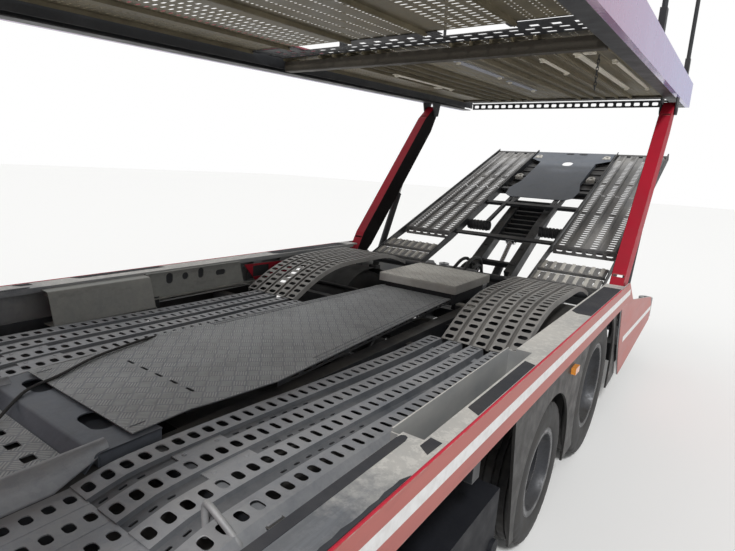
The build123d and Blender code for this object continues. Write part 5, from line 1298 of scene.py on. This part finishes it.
def barrel(sheet, middle, width, seat, place):
    """Rim barrel with a flange at each side, open between."""
    half = [(0.445, seat + 0.016), (0.455, seat + 0.018), (0.462, seat + 0.014), (0.455, seat - 0.004),
            (0.38, seat - 0.01), (0.3, seat - 0.014), (0.2, seat - 0.034)]
    outline = [(-t, r) for t, r in half] + [(t, r) for t, r in reversed(half)]
    outer = [(middle + t * width, r) for t, r in outline]
    inner = [(x, r - 0.009) for x, r in reversed(outer)]
    ring = outer + inner
    rings = [[place @ Vector((x, r * c, r * s)) for x, r in ring] for c, s in circle(1, 72)]
    hoop(sheet, rings, True)


for axle, width, pair in (("front", 0.285, False), ("pusher", 0.215, True), ("drive", 0.285, True)):
    for side, name in SIDES:
        span = extent(nodes[f"tyre_{axle}_{name}"])
        place = moved(0, sum(span[1]) / 2, sum(span[2]) / 2)
        radius = (span[2][1] - span[2][0]) / 2
        rim = extent(nodes[f"rim_{axle}_{name}"])
        seat = (rim[2][1] - rim[2][0]) / 2 - RIM_FLANGE
        middles = [span[0][0] + width / 2, span[0][1] - width / 2] if pair else [sum(span[0]) / 2]
        rubber_parts, metal = Sheet(), Sheet()
        for middle in middles:
            tyre(rubber_parts, middle, width, radius, seat, place)
            barrel(metal, middle, width, seat, place)
        out = max(middles, key=lambda m: side * m)
        bore, bolts, bolt_ring = (0.096, 8, 0.1375) if axle == "pusher" else (0.118, 10, 0.1675)
        depth = 0.03 if axle == "front" else -0.055
        wheel_disc(metal, out + side * depth, side, seat - 0.012, bore, bolts, bolt_ring, place)
        body = f"wheel_{axle}_{name}"
        settle(rubber_parts.make(f"tyre_{axle}_{name}_treaded", "rubber", smooth=32), body, "tyre_rubber",
               f"tyre_{axle}_{name}")
        settle(metal.make(f"rim_{axle}_{name}_detailed", "rim", "zinc", "iron", smooth=30), body, "rim_steel",
               f"rim_{axle}_{name}")

# Floor, light and camera

floor_mesh = Sheet()
floor_mesh.face((-60, -60, 0), (60, -60, 0), (60, 60, 0), (-60, 60, 0))
MAT["floor"] = bpy.data.materials.new("studio_floor")
MAT["floor"].use_nodes = True
floor_shader = MAT["floor"].node_tree.nodes["Principled BSDF"]
floor_shader.inputs["Base Color"].default_value = (0.86, 0.86, 0.85, 1)
floor_shader.inputs["Roughness"].default_value = 0.9
floor = floor_mesh.make("studio_floor", "floor")
floor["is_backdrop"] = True

world = bpy.data.worlds.new("studio")
bpy.context.scene.world = world
world.use_nodes = True
tree = world.node_tree
sky = tree.nodes["Background"]
sky.inputs["Color"].default_value = (1, 1, 1, 1)
rays = tree.nodes.new("ShaderNodeLightPath")
seen = tree.nodes.new("ShaderNodeMath")
seen.operation = "MAXIMUM"
tree.links.new(rays.outputs["Is Camera Ray"], seen.inputs[0])
tree.links.new(rays.outputs["Is Transmission Ray"], seen.inputs[1])
level = tree.nodes.new("ShaderNodeMapRange")
level.inputs["To Min"].default_value = 0.55
level.inputs["To Max"].default_value = 1.0
tree.links.new(seen.outputs[0], level.inputs["Value"])
tree.links.new(level.outputs["Result"], sky.inputs["Strength"])


def sun(name, direction, strength, spread):
    """A sun whose disc is spread degrees wide."""
    lamp = bpy.data.lights.new(name, "SUN")
    lamp.energy, lamp.angle = strength, radians(spread)
    made = bpy.data.objects.new(name, lamp)
    made.rotation_mode = "QUATERNION"
    made.rotation_quaternion = Vector(direction).to_track_quat("-Z", "Y")
    bpy.context.scene.collection.objects.link(made)


sun("key", (-0.45, 0.62, -1.0), strength=1.9, spread=9)
sun("fill", (0.6, -0.3, -0.8), strength=0.35, spread=60)

camera = bpy.data.cameras.new("camera")
camera.sensor_width = 36.0
camera.lens = camera.sensor_width * FOCAL_LENGTH / PHOTO_WIDTH
camera.clip_start, camera.clip_end = 0.05, 200
eye = bpy.data.objects.new("camera", camera)
eye.matrix_world = Matrix((
    (0.81623364, -0.1654018, 0.55353852, 1.785),
    (0.57459321, 0.13284029, -0.80758659, -2.0),
    (0.06004406, 0.97723882, 0.20346746, 1.78),
    (0.0, 0.0, 0.0, 1.0),
))
bpy.context.scene.collection.objects.link(eye)
bpy.context.scene.camera = eye
bpy.context.scene.view_settings.view_transform = "Standard"

low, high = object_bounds()
